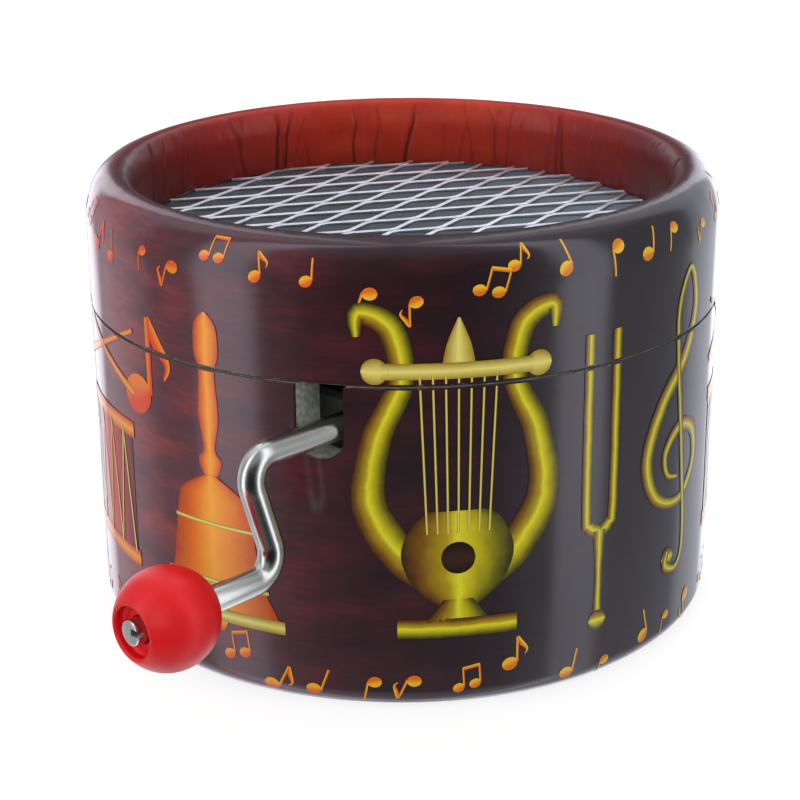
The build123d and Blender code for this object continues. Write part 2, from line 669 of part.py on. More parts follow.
def shaft_collar():
    """Push-on collar that keeps the shaft from drawing out."""
    start = BRACKET_BACK_Y + BUSH_FLANGE + COLLAR_GAP
    collar = rod_y(COLLAR_RADIUS, start, start + COLLAR_LENGTH, SHAFT_X, SHAFT_Z)
    return collar - rod_y(WIRE_RADIUS, -FAR, FAR, SHAFT_X, SHAFT_Z)


def knob():
    """Ball that turns on the handle, recessed round the staked tip."""
    profile = []
    for step in range(BALL_STEPS + 1):
        profile.append(on_circle(KNOB_RADIUS, pi * step / BALL_STEPS - pi / 2))
    profile.append(profile[0])
    turned = revolve(Plane.XZ * make_face(Polyline(profile)), Axis.Z)
    ball = Pos(HANDLE_X, KNOB_Y, HANDLE_Z) * Rot(90, 0, 0) * turned
    ball -= rod_y(WIRE_RADIUS + KNOB_PLAY, -FAR, 0, HANDLE_X, HANDLE_Z)
    return ball - rod_y(KNOB_RECESS_RADIUS, -FAR, RECESS_FLOOR_Y, HANDLE_X, HANDLE_Z)


NODES = {
    "lid_tube": lid_tube,
    "rim_ring": rim_ring,
    "lid_wrap": lid_wrap,
    "support_ring": support_ring,
    "film_disc": film_disc,
    "grille": grille,
    "body_tube": body_tube,
    "body_wrap": body_wrap,
    "neck_ring": neck_ring,
    "base_disc": base_disc,
    "base_screws": base_screws,
    "bedplate": bedplate,
    "crank_bracket": crank_bracket,
    "bracket_screws": bracket_screws,
    "comb": comb,
    "tuning_weights": tuning_weights,
    "comb_screws": comb_screws,
    "front_bushing": lambda: bushing(BRACKET_FRONT_Y, -1),
    "rear_bushing": lambda: bushing(BRACKET_BACK_Y, 1),
    "pinned_cylinder": pinned_cylinder,
    "left_cylinder_cap": lambda: cylinder_cap(-1),
    "right_cylinder_cap": lambda: cylinder_cap(1),
    "cylinder_arbor": cylinder_arbor,
    "worm_wheel": worm_wheel,
    "worm": worm,
    "crank_wire": crank_wire,
    "shaft_collar": shaft_collar,
    "knob": knob,
}


def main():
    """Write one STEP file per node."""
    os.makedirs("parts", exist_ok=True)
    for name, make in NODES.items():
        made = make()
        if isinstance(made, list):
            made = Compound(children=[Compound(list(piece.solids())) for piece in made])
        export_step(made, "parts/" + name + ".step")
        print(name, round(made.volume, 2))


if __name__ == "__main__":
    main()
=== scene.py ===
"""Looks of a hand-cranked music box in a round card box, built round its packed CAD model.

Metres in Blender; the sizes of the paper, the print and the grille are written in millimetres and
turned to metres by MM. The box stands on z = 0, and its crank points towards -Y.
"""

import json
import random
from math import atan2, ceil, cos, degrees, exp, hypot, pi, radians, sin, sqrt, tan

import bmesh
import bpy
from bpy.props import FloatProperty, IntProperty, PointerProperty
from mathutils import Matrix, Vector, noise

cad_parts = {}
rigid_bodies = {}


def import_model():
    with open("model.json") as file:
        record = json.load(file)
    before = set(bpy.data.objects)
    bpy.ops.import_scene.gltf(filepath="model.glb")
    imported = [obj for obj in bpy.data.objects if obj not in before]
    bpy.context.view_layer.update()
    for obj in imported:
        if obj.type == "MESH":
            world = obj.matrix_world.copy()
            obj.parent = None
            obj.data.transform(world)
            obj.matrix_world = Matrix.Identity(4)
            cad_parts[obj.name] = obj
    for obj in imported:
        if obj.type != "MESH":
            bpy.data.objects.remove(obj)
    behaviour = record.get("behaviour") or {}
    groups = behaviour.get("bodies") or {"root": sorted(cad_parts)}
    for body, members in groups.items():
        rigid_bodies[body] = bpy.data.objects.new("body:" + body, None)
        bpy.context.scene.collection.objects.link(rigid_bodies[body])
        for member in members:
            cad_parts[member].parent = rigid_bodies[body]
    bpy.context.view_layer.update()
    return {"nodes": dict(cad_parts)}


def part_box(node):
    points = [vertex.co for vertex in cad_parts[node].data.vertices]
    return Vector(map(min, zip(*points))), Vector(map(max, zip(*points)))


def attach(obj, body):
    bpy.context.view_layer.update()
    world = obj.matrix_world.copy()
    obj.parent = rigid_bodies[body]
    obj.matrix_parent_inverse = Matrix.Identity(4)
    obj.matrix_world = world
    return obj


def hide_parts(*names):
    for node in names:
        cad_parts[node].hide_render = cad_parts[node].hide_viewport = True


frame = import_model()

bl_info = {
    "name": "Card Music Box Looks",
    "version": (1, 0, 0),
    "blender": (4, 5, 0),
    "location": "View3D > Sidebar > Music Box",
    "description": "Printed paper, grille, crank and works of a small hand-cranked music box",
    "category": "Object",
}

MM = 0.001
LID_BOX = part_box("lid_wrap")
BODY_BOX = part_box("body_wrap")
FILM_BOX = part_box("film_disc")
KNOB_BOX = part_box("knob")
SHELL_RADIUS = LID_BOX[1].x / MM
RIM_TOP = LID_BOX[1].z / MM
LID_EDGE = LID_BOX[0].z / MM
BODY_EDGE = BODY_BOX[1].z / MM
BODY_FOOT = BODY_BOX[0].z / MM
FILM_TOP = FILM_BOX[1].z / MM
FILM_RADIUS = FILM_BOX[1].x / MM

# The rim's two sides: width, drop and radius of the tight arc at the crown
RIM_OUTSIDE = (2.5, 3.9, 2.0)
RIM_INSIDE = (1.4, 2.6, 1.0)
CROWN_RADIUS = SHELL_RADIUS - RIM_OUTSIDE[0]
FOOT_ROUND = 1.6
PAPER = 0.2

# Slot that the shaft leaves by
SLOT_X = 13.5
SLOT_HALF = 1.6
SLOT_MIDDLE_Z = 22.2

# The camera's place and aim in the object's frame
CAMERA_PLACE = Vector((114.079, -112.890, 75.728)) * MM
CAMERA_AIM = Vector((-0.667, 0.657, -0.350))
CAMERA_UP = Vector((-0.244, 0.252, 0.937))
CAMERA_LENS = 89.67
CAMERA_SENSOR = 36.0
FRONT = Vector((CAMERA_PLACE.x, CAMERA_PLACE.y, 0)).normalized()
VIEW_RIGHT = Vector((-FRONT.y, FRONT.x, 0))


# ---------------------------------------------------------------- settings

def length_property(name, description, default):
    """A size in millimetres."""
    return FloatProperty(name=name, description=description, default=default, min=0.0, unit="NONE")


def power_property(name, description, default):
    """A lamp's power in watts."""
    return FloatProperty(name=name, description=description, default=default, min=0.0, unit="POWER")


def linear(hex_colour):
    """Linear colour of an sRGB hex value."""
    channels = [int(hex_colour[i:i + 2], 16) / 255 for i in (1, 3, 5)]
    bright = [c / 12.92 if c <= 0.04045 else ((c + 0.055) / 1.055) ** 2.4 for c in channels]
    return (*bright, 1.0)


class PaperSettings(bpy.types.PropertyGroup):
    """Printed paper and its turned-in edge."""

    pleats: IntProperty(name="Pleats", description="Creases round the turned-in edge", default=58, min=0)
    pleat_depth: length_property("Pleat depth", "How deep a crease is, in mm", 0.18)
    puff: length_property("Puff", "How far the turned-in paper stands off the card, in mm", 0.22)
    edge_wander: length_property("Edge wander", "How far the turned-in edge wanders, in mm", 0.14)


class GrilleSettings(bpy.types.PropertyGroup):
    """Expanded metal over the film."""

    long_way: length_property("Long way", "Pitch of the openings along their length, in mm", 6.8)
    short_way: length_property("Short way", "Pitch of the openings across, in mm", 3.6)
    bond: length_property("Bond", "Length of the joint of two strands, in mm", 1.3)
    strand_width: length_property("Strand width", "Width of a strand, in mm", 0.31)
    strand_thickness: length_property("Strand thickness", "Thickness of the sheet, in mm", 0.14)
    rise: length_property("Rise", "Height that a strand climbs from bond to bond, in mm", 0.12)
    lean: FloatProperty(name="Lean", description="Tilt of the strands", default=radians(14),
                        subtype="ANGLE")
    turn: FloatProperty(name="Turn", description="Direction of the long way", default=radians(80),
                        subtype="ANGLE")


class PrintSettings(bpy.types.PropertyGroup):
    """Printed notes and motifs."""

    note_count: IntProperty(name="Notes", description="Notes in one row round the box", default=42, min=0)
    note_size: FloatProperty(name="Note size", description="Scale of the small notes", default=0.9, min=0.1)
    seed: IntProperty(name="Seed", description="Seed of the scattered notes", default=7)


class KnobSettings(bpy.types.PropertyGroup):
    """Ball on the handle."""

    radius: length_property("Radius", "Radius of the ball, in mm", (KNOB_BOX[1].x - KNOB_BOX[0].x) / 2 / MM)
    recess: length_property("Recess", "Radius of the recess round the wire's end, in mm", 1.85)
    edge: length_property("Edge", "Rounding of the recess's edge, in mm", 0.3)


class StudioSettings(bpy.types.PropertyGroup):
    """Lights and background."""

    side_power: power_property("Side power", "Power of a side box", 0.8)
    top_power: power_property("Top power", "Power of the top box", 1.2)
    fill_power: power_property("Fill power", "Power of the front fill", 1.7)
    ambient: FloatProperty(name="Ambient", description="Strength of the room's light", default=0.45,
                           min=0.0)


# ---------------------------------------------------------------- node and mesh helpers

def add_node(tree, kind, links=None, stops=None, **settings):
    """Adds a node with its properties, its inputs as values, sockets or nodes, and its colour stops."""
    node = tree.nodes.new(kind)
    for name, value in settings.items():
        setattr(node, name, value)
    for key, value in (links or {}).items():
        if isinstance(value, bpy.types.Node):
            # a node stands for the first of its outputs that is in use
            value = next(output for output in value.outputs if output.enabled)
        if isinstance(value, bpy.types.NodeSocket):
            tree.links.new(value, node.inputs[key])
        else:
            node.inputs[key].default_value = value
    if stops:
        elements = node.color_ramp.elements
        while len(elements) < len(stops):
            elements.new(0.5)
        for element, (place, colour) in zip(elements, stops):
            element.position = place
            element.color = linear(colour) if isinstance(colour, str) else (colour,) * 3 + (1.0,)
    return node


def new_material(name, **constants):
    """A material with its constants on the shader's own sockets; returned with its tree and shader."""
    material = bpy.data.materials.new(name)
    material.use_nodes = True
    shader = material.node_tree.nodes["Principled BSDF"]
    for key, value in constants.items():
        shader.inputs[key.replace("_", " ")].default_value = value
    return material, material.node_tree, shader


def new_mesh_object(name, vertices, faces, material=None, smooth=True):
    """An object in the scene from points in millimetres."""
    mesh = bpy.data.meshes.new(name)
    mesh.from_pydata([[value * MM for value in vertex] for vertex in vertices], [], faces)
    if material:
        mesh.materials.append(material)
    mesh.polygons.foreach_set("use_smooth", [smooth] * len(mesh.polygons))
    mesh.validate()
    mesh.update()
    made = bpy.data.objects.new(name, mesh)
    bpy.context.scene.collection.objects.link(made)
    return made


def outward(made, crease_angle=radians(40)):
    """Merges doubles, turns every face outwards and keeps the edges that are sharper than an angle."""
    sheet = bmesh.new()
    sheet.from_mesh(made.data)
    bmesh.ops.remove_doubles(sheet, verts=sheet.verts, dist=1e-7)
    bmesh.ops.recalc_face_normals(sheet, faces=sheet.faces)
    sheet.to_mesh(made.data)
    sheet.free()
    made.data.set_sharp_from_angle(angle=crease_angle)
    return made


def new_geometry_tree(name, inputs):
    """An empty geometry tree with named inputs; returns it, its input node and its output node."""
    tree = bpy.data.node_groups.new(name, "GeometryNodeTree")
    tree.interface.new_socket("Geometry", in_out="OUTPUT", socket_type="NodeSocketGeometry")
    for label, kind in inputs:
        tree.interface.new_socket(label, in_out="INPUT", socket_type="NodeSocket" + kind)
    return tree, tree.nodes.new("NodeGroupInput"), tree.nodes.new("NodeGroupOutput")


def evaluated_mesh(made):
    """A plain mesh of an object as its modifiers leave it."""
    bpy.context.view_layer.update()
    graph = bpy.context.evaluated_depsgraph_get()
    return bpy.data.meshes.new_from_object(made.evaluated_get(graph), preserve_all_data_layers=True,
                                           depsgraph=graph)


def grow(name, tree, values):
    """Runs a geometry tree and returns its result as a plain mesh object."""
    holder = bpy.data.objects.new(name + "_seed", bpy.data.meshes.new(name + "_seed"))
    bpy.context.scene.collection.objects.link(holder)
    modifier = holder.modifiers.new("Grow", "NODES")
    modifier.node_group = tree
    inputs = [item for item in tree.interface.items_tree if item.in_out == "INPUT"]
    identifiers = {item.name: item.identifier for item in inputs}
    for label, value in values.items():
        modifier[identifiers[label]] = value
    holder.update_tag()
    mesh = evaluated_mesh(holder)
    bpy.data.objects.remove(holder)
    if not mesh.polygons:
        raise RuntimeError(name + " came out empty")
    mesh.name = name
    made = bpy.data.objects.new(name, mesh)
    bpy.context.scene.collection.objects.link(made)
    return made


def round_faces(segments, count):
    """Faces between closed sections of one number of points each, all the way round."""
    faces = []
    for step in range(segments):
        here, there = step * count, (step + 1) % segments * count
        for row in range(count):
            after = (row + 1) % count
            faces.append((here + row, there + row, there + after, here + after))
    return faces


def turned_section(section, angle):
    """Points of a section of (radius, height) at an angle round Z."""
    return [(radius * cos(angle), radius * sin(angle), height) for radius, height in section]


# ---------------------------------------------------------------- the box's outline

def rim_arcs(width, drop, tight):
    """Radius of the slack arc of one side of the rim, and the angle where the tight arc joins it."""
    slack = (width**2 + drop**2 - 2 * drop * tight) / (2 * (width - tight))
    return slack, atan2(drop - tight, slack - width)


def rim_side(side, sizes, tight_steps, slack_steps):
    """Points with their normals from the crown down one side of the rim: (radius, height, across, up)."""
    width, drop, tight = sizes
    slack, join = rim_arcs(*sizes)
    points = []
    for step in range(tight_steps):
        angle = pi / 2 + (join - pi / 2) * step / tight_steps
        points.append((CROWN_RADIUS + side * tight * cos(angle), RIM_TOP + tight * (sin(angle) - 1),
                       side * cos(angle), sin(angle)))
    for step in range(slack_steps + 1):
        angle = join * (1 - step / slack_steps)
        points.append((CROWN_RADIUS + side * (width - slack + slack * cos(angle)),
                       RIM_TOP + slack * sin(angle) - drop, side * cos(angle), sin(angle)))
    return points


def foot_points(steps):
    """Points with their normals from under the body up its rounded bottom edge."""
    points = []
    for step in range(steps + 1):
        angle = -pi / 2 * (1 - step / steps)
        points.append((SHELL_RADIUS - FOOT_ROUND + FOOT_ROUND * cos(angle),
                       BODY_FOOT + FOOT_ROUND * (1 + sin(angle)), cos(angle), sin(angle)))
    return points


def outside_points():
    """The whole outside of the box from its foot to the crown, as points with their normals."""
    return foot_points(8) + rim_side(1, RIM_OUTSIDE, 12, 10)[::-1]


def wall_place(along, height, lift):
    """The point of the outside at a distance along the wall and up it, both in unrolled millimetres."""
    slack, join = rim_arcs(*RIM_OUTSIDE)
    shoulder = RIM_TOP - RIM_OUTSIDE[1]
    width, _, tight = RIM_OUTSIDE
    past = height - shoulder
    if past <= 0:
        radius, up, tilt = SHELL_RADIUS, height, 0.0
    elif past <= slack * join:
        tilt = past / slack
        radius = CROWN_RADIUS + width - slack + slack * cos(tilt)
        up = RIM_TOP - RIM_OUTSIDE[1] + slack * sin(tilt)
    else:
        tilt = min(join + (past - slack * join) / tight, pi / 2)
        radius = CROWN_RADIUS + tight * cos(tilt)
        up = RIM_TOP + tight * (sin(tilt) - 1)
    radius += lift * cos(tilt)
    up += lift * sin(tilt)
    angle = along / SHELL_RADIUS
    return radius * cos(angle), radius * sin(angle), up


# ---------------------------------------------------------------- materials

GLOSS = 0.13                 # roughness of the laminating film


def film_over_print(tree, shader, bump_strength=0.12):
    """Faint waviness of glued paper under its film, about 2 mm from crest to crest, as a bump."""
    place = add_node(tree, "ShaderNodeTexCoord").outputs["Object"]
    waves = add_node(tree, "ShaderNodeTexNoise", {
        "Vector": place, "Scale": 260.0, "Detail": 3.0, "Roughness": 0.45})
    bump = add_node(tree, "ShaderNodeBump", {
        "Height": waves, "Strength": bump_strength, "Distance": 0.06 * MM})
    tree.links.new(bump.outputs["Normal"], shader.inputs["Normal"])
    tree.links.new(bump.outputs["Normal"], shader.inputs["Coat Normal"])
    return place


def printed_paper():
    """Offset print under a gloss film: deep colours below a clear coat that mirrors the softboxes."""
    material, tree, shader = new_material("gloss_laminated_paper", Roughness=0.55, Specular_IOR_Level=0.3,
                                          Coat_Weight=1.0, Coat_Roughness=GLOSS, Coat_IOR=1.5)
    place = film_over_print(tree, shader)
    parts = add_node(tree, "ShaderNodeSeparateXYZ", {"Vector": place})
    # from the wine-red side to the dark side
    across = add_node(tree, "ShaderNodeVectorMath", {
        0: place, 1: VIEW_RIGHT / (2 * SHELL_RADIUS * MM)}, operation="DOT_PRODUCT")
    cloud_size = add_node(tree, "ShaderNodeMapping", {"Vector": place, "Scale": (1.0, 1.0, 2.6)})
    clouds = add_node(tree, "ShaderNodeTexNoise", {
        "Vector": cloud_size, "Scale": 150.0, "Detail": 5.0, "Roughness": 0.6})
    wander = add_node(tree, "ShaderNodeMath", {0: clouds, 1: 0.9, 2: 0.05}, operation="MULTIPLY_ADD")
    mixed = add_node(tree, "ShaderNodeMath", {0: across, 1: wander}, operation="ADD")
    ground = add_node(tree, "ShaderNodeValToRGB", {"Fac": mixed}, stops=[
        (0.02, "#7e2723"), (0.16, "#581a22"), (0.36, "#3a131a"), (0.56, "#261016"), (0.76, "#1d1218"),
        (1.0, "#1a161d")])
    # fine horizontal streaks, about 0.4 mm apart
    streak_size = add_node(tree, "ShaderNodeMapping", {"Vector": place, "Scale": (1.0, 1.0, 9.0)})
    streaks = add_node(tree, "ShaderNodeTexNoise", {
        "Vector": streak_size, "Scale": 420.0, "Detail": 4.0, "Roughness": 0.7})
    shade = add_node(tree, "ShaderNodeMapRange", {
        "Value": streaks, "From Min": 0.3, "From Max": 0.72, "To Min": 0.72, "To Max": 1.28})
    streaked = add_node(tree, "ShaderNodeVectorMath", {0: ground, 1: shade}, operation="MULTIPLY")
    # the sheet's top margin, warm red to orange, lies over the crown and down the inside
    round_axis = add_node(tree, "ShaderNodeCombineXYZ", {"X": parts.outputs["X"], "Y": parts.outputs["Y"]})
    radius = add_node(tree, "ShaderNodeVectorMath", {0: round_axis}, operation="LENGTH")
    back = add_node(tree, "ShaderNodeVectorMath", {
        0: place, 1: -FRONT / (2 * SHELL_RADIUS * MM)}, operation="DOT_PRODUCT")
    warmth = add_node(tree, "ShaderNodeMath", {0: clouds, 1: 0.22, 2: 0.38}, operation="MULTIPLY_ADD")
    backness = add_node(tree, "ShaderNodeMath", {0: back, 1: warmth}, operation="ADD")
    margin = add_node(tree, "ShaderNodeValToRGB", {"Fac": backness}, stops=[
        (0.1, "#2c1412"), (0.42, "#441512"), (0.6, "#5e1613"), (0.78, "#86190f"), (0.9, "#ac260c"),
        (1.0, "#c84008")])
    inside = add_node(tree, "ShaderNodeMapRange", {
        "Value": radius, "From Min": (CROWN_RADIUS + 1.3) * MM, "From Max": (CROWN_RADIUS - 0.4) * MM},
        interpolation_type="SMOOTHSTEP")
    above = add_node(tree, "ShaderNodeMath", {
        0: parts.outputs["Z"], 1: (BODY_EDGE + LID_EDGE) / 2 * MM}, operation="GREATER_THAN")
    on_rim = add_node(tree, "ShaderNodeMath", {0: inside, 1: above}, operation="MULTIPLY")
    printed = add_node(tree, "ShaderNodeMix", {
        "Factor": on_rim, "A": streaked, "B": margin}, data_type="RGBA")
    # painted shade from the "crease" attribute darkens the bottom of each crease and the turned-in paper deep
    # in the well
    crease = add_node(tree, "ShaderNodeAttribute", attribute_name="crease")
    crease_shaded = add_node(tree, "ShaderNodeMix", {
        "Factor": crease.outputs["Fac"], "A": printed, "B": linear("#1c0a0b")}, data_type="RGBA")
    # torn fibres show pale in places along the cut at the seam, in tufts about 0.5 mm long
    tufts = add_node(tree, "ShaderNodeTexNoise", {"Vector": place, "Scale": 1700.0, "Detail": 4.0})
    reach = add_node(tree, "ShaderNodeMath", {0: tufts, 1: 0.9 * MM, 2: -0.43 * MM}, operation="MULTIPLY_ADD")
    to_seam = add_node(tree, "ShaderNodeMath", {
        0: parts.outputs["Z"], 1: (BODY_EDGE + LID_EDGE) / 2 * MM}, operation="SUBTRACT")
    off_seam = add_node(tree, "ShaderNodeMath", {0: to_seam}, operation="ABSOLUTE")
    at_cut = add_node(tree, "ShaderNodeMath", {0: off_seam, 1: reach}, operation="LESS_THAN")
    # so does the paper's own thickness wherever it is cut across
    radial = add_node(tree, "ShaderNodeVectorMath", {0: round_axis}, operation="NORMALIZE")
    facing = add_node(tree, "ShaderNodeVectorMath", {
        0: radial, 1: add_node(tree, "ShaderNodeNewGeometry").outputs["True Normal"]},
        operation="DOT_PRODUCT")
    cut_face = add_node(tree, "ShaderNodeMath", {0: facing, 1: 0.0, 2: 0.35}, operation="COMPARE")
    below_rim = add_node(tree, "ShaderNodeMath", {
        0: parts.outputs["Z"], 1: (LID_EDGE + 2.0) * MM}, operation="LESS_THAN")
    above_foot = add_node(tree, "ShaderNodeMath", {
        0: parts.outputs["Z"], 1: 2.0 * FOOT_ROUND * MM}, operation="GREATER_THAN")
    on_wall = add_node(tree, "ShaderNodeMath", {0: below_rim, 1: above_foot}, operation="MULTIPLY")
    bare = add_node(tree, "ShaderNodeMath", {0: cut_face, 1: on_wall}, operation="MULTIPLY")
    pale = add_node(tree, "ShaderNodeMath", {0: bare, 1: at_cut}, operation="MAXIMUM")
    torn = add_node(tree, "ShaderNodeMix", {
        "Factor": pale, "A": crease_shaded, "B": linear("#6d625b")}, data_type="RGBA")
    tree.links.new(torn.outputs[2], shader.inputs["Base Color"])
    # the turned-in paper is handled and pressed, so its film is duller than outside
    dulled = add_node(tree, "ShaderNodeMapRange", {"Value": on_rim, "To Min": GLOSS, "To Max": 0.26})
    thinned = add_node(tree, "ShaderNodeMapRange", {"Value": on_rim, "To Min": 1.0, "To Max": 0.3})
    tree.links.new(dulled.outputs[0], shader.inputs["Coat Roughness"])
    tree.links.new(thinned.outputs[0], shader.inputs["Coat Weight"])
    # and it is finely puckered, about 1 mm from crest to crest, where it is gathered
    pucker_size = add_node(tree, "ShaderNodeMapping", {"Vector": place, "Scale": (1.0, 1.0, 0.3)})
    puckers = add_node(tree, "ShaderNodeTexNoise", {"Vector": pucker_size, "Scale": 620.0, "Detail": 2.0})
    gathered = add_node(tree, "ShaderNodeMath", {0: puckers, 1: on_rim}, operation="MULTIPLY")
    bump = add_node(tree, "ShaderNodeBump", {
        "Height": gathered, "Strength": 0.9, "Distance": 0.16 * MM,
        "Normal": shader.inputs["Normal"].links[0].from_socket})
    tree.links.new(bump.outputs["Normal"], shader.inputs["Normal"])
    tree.links.new(bump.outputs["Normal"], shader.inputs["Coat Normal"])
    return material


def printed_ink(name, stops, speckle=0.09):
    """Ink under the same gloss film, shaded across each brush stroke as a painter would round it."""
    material, tree, shader = new_material(name, Roughness=0.5, Specular_IOR_Level=0.2,
                                          Coat_Weight=0.6, Coat_Roughness=GLOSS, Coat_IOR=1.5)
    place = film_over_print(tree, shader)
    across = add_node(tree, "ShaderNodeAttribute", attribute_name="across")
    dabs = add_node(tree, "ShaderNodeTexNoise", {
        "Vector": place, "Scale": 600.0, "Detail": 4.0, "Roughness": 0.65})
    shift = add_node(tree, "ShaderNodeMath", {0: dabs, 1: speckle * 2, 2: -speckle}, operation="MULTIPLY_ADD")
    worked = add_node(tree, "ShaderNodeMath", {0: across.outputs["Fac"], 1: shift}, operation="ADD")
    tone = add_node(tree, "ShaderNodeValToRGB", {"Fac": worked}, stops=stops)
    tree.links.new(tone.outputs["Color"], shader.inputs["Base Color"])
    return material


def note_ink():
    """Orange ink on the left that turns gold on the right, yellow in the middle of each stroke."""
    material, tree, shader = new_material("note_ink", Roughness=0.5, Specular_IOR_Level=0.2,
                                          Coat_Weight=0.6, Coat_Roughness=GLOSS, Coat_IOR=1.5)
    place = film_over_print(tree, shader)
    side = add_node(tree, "ShaderNodeVectorMath", {
        0: place, 1: VIEW_RIGHT / (2 * SHELL_RADIUS * MM)}, operation="DOT_PRODUCT")
    shifted = add_node(tree, "ShaderNodeMath", {0: side, 1: 0.5}, operation="ADD")
    edge = add_node(tree, "ShaderNodeValToRGB", {"Fac": shifted}, stops=[
        (0.05, "#e03c12"), (0.35, "#ea6a12"), (0.7, "#e07a18"), (1.0, "#d0882a")])
    middle = add_node(tree, "ShaderNodeValToRGB", {"Fac": shifted}, stops=[
        (0.05, "#f06a18"), (0.35, "#f4b422"), (0.7, "#f2c22c"), (1.0, "#e8c040")])
    across = add_node(tree, "ShaderNodeAttribute", attribute_name="across")
    fullness = add_node(tree, "ShaderNodeMapRange", {
        "Value": across.outputs["Fac"], "From Min": 0.3, "From Max": 0.75})
    ink = add_node(tree, "ShaderNodeMix", {"Factor": fullness, "A": edge, "B": middle}, data_type="RGBA")
    tree.links.new(ink.outputs[2], shader.inputs["Base Color"])
    return material


def grey_board():
    """Pressed greyboard: flecked grey-green stock, matt, with fibres about 0.3 mm long."""
    material, tree, shader = new_material("pressed_greyboard", Roughness=0.9)
    place = add_node(tree, "ShaderNodeTexCoord").outputs["Object"]
    flecks = add_node(tree, "ShaderNodeTexNoise", {"Vector": place, "Scale": 2600.0, "Detail": 5.0})
    plies = add_node(tree, "ShaderNodeTexNoise", {"Vector": place, "Scale": 500.0, "Detail": 2.0})
    blend = add_node(tree, "ShaderNodeMath", {0: flecks, 1: plies}, operation="MULTIPLY")
    tone = add_node(tree, "ShaderNodeValToRGB", {"Fac": blend}, stops=[
        (0.12, "#6a6f66"), (0.26, "#979c90"), (0.42, "#b4b7a9")])
    bump = add_node(tree, "ShaderNodeBump", {"Height": flecks, "Strength": 0.5, "Distance": 0.05 * MM})
    tree.links.new(tone.outputs["Color"], shader.inputs["Base Color"])
    tree.links.new(bump.outputs["Normal"], shader.inputs["Normal"])
    return material


def black_paper():
    """Uncoated black paper on the base: nearly flat, with a fine tooth."""
    material, tree, shader = new_material("uncoated_black_paper", Roughness=0.85)
    place = add_node(tree, "ShaderNodeTexCoord").outputs["Object"]
    tooth = add_node(tree, "ShaderNodeTexNoise", {"Vector": place, "Scale": 1800.0, "Detail": 4.0})
    tone = add_node(tree, "ShaderNodeValToRGB", {"Fac": tooth}, stops=[(0.3, "#17161a"), (0.7, "#2a282c")])
    bump = add_node(tree, "ShaderNodeBump", {"Height": tooth, "Strength": 0.3, "Distance": 0.04 * MM})
    tree.links.new(tone.outputs["Color"], shader.inputs["Base Color"])
    tree.links.new(bump.outputs["Normal"], shader.inputs["Normal"])
    return material


def smoke_film():
    """Smoke-grey plastic sheet under the grille: its matt-smooth face keeps only a soft sheen, and its colour
    carries a painted reflection that grows lighter towards the right.
    """
    material, tree, shader = new_material("smoke_grey_acetate", Roughness=0.42, IOR=1.49)
    place = add_node(tree, "ShaderNodeTexCoord").outputs["Object"]
    haze = add_node(tree, "ShaderNodeTexNoise", {"Vector": place, "Scale": 90.0, "Detail": 3.0})
    # painted reflection: the sheet's colour grows lighter towards the right, where the right softbox would
    # mirror in it
    side = add_node(tree, "ShaderNodeVectorMath", {
        0: place, 1: VIEW_RIGHT / (2 * FILM_RADIUS * MM)}, operation="DOT_PRODUCT")
    mixed = add_node(tree, "ShaderNodeMath", {0: haze, 1: 0.3, 2: side}, operation="MULTIPLY_ADD")
    tone = add_node(tree, "ShaderNodeValToRGB", {"Fac": mixed}, stops=[
        (0.0, "#414b50"), (0.3, "#4f5a60"), (0.6, "#71808a")])
    tree.links.new(tone.outputs["Color"], shader.inputs["Base Color"])
    return material


def metal(name, colours, roughness, grain=900.0, stretch=(1.0, 1.0, 1.0), bump=0.1):
    """Metal with a fine drawn or brushed grain that breaks up its gloss."""
    material, tree, shader = new_material(name, Metallic=1.0)
    place = add_node(tree, "ShaderNodeTexCoord").outputs["Object"]
    along = add_node(tree, "ShaderNodeMapping", {"Vector": place, "Scale": stretch})
    lines = add_node(tree, "ShaderNodeTexNoise", {"Vector": along, "Scale": grain, "Detail": 4.0})
    tone = add_node(tree, "ShaderNodeValToRGB", {"Fac": lines}, stops=[(0.3, colours[0]), (0.7, colours[1])])
    gloss = add_node(tree, "ShaderNodeMapRange", {
        "Value": lines, "To Min": roughness * 0.7, "To Max": roughness * 1.3})
    relief = add_node(tree, "ShaderNodeBump", {"Height": lines, "Strength": bump, "Distance": 0.02 * MM})
    tree.links.new(tone.outputs["Color"], shader.inputs["Base Color"])
    tree.links.new(gloss.outputs[0], shader.inputs["Roughness"])
    tree.links.new(relief.outputs["Normal"], shader.inputs["Normal"])
    return material


def moulded_plastic(name, colours, roughness):
    """Injection-moulded plastic: even colour with a slow flow mark and a fine orange-peel skin."""
    material, tree, shader = new_material(name, Roughness=roughness, IOR=1.5)
    place = add_node(tree, "ShaderNodeTexCoord").outputs["Object"]
    flow = add_node(tree, "ShaderNodeTexNoise", {"Vector": place, "Scale": 300.0, "Detail": 2.0})
    tone = add_node(tree, "ShaderNodeValToRGB", {"Fac": flow}, stops=[(0.3, colours[0]), (0.7, colours[1])])
    peel = add_node(tree, "ShaderNodeTexNoise", {"Vector": place, "Scale": 1500.0, "Detail": 2.0})
    bump = add_node(tree, "ShaderNodeBump", {"Height": peel, "Strength": 0.08, "Distance": 0.03 * MM})
    tree.links.new(tone.outputs["Color"], shader.inputs["Base Color"])
    tree.links.new(bump.outputs["Normal"], shader.inputs["Normal"])
    return material


# ---------------------------------------------------------------- paper

# In mm: unevenness of glued paper on the wall and of its cut at the seam, and the clearance over the film
WALL_RELIEF = 0.014
CUT_WANDER = 0.04
EDGE_OVER_FILM = 0.12
LID_SEGMENTS = 1500
BODY_SEGMENTS = 720
PLEAT_SEED = 11


def noise_round(angle, scale, level):
    """Noise from about -1 to 1 that closes on itself round the box."""
    return noise.noise(Vector((cos(angle) * scale, sin(angle) * scale, level)))


def bell_curve(offset, width):
    """A smooth bump of height 1."""
    return exp(-(offset / width) ** 2)


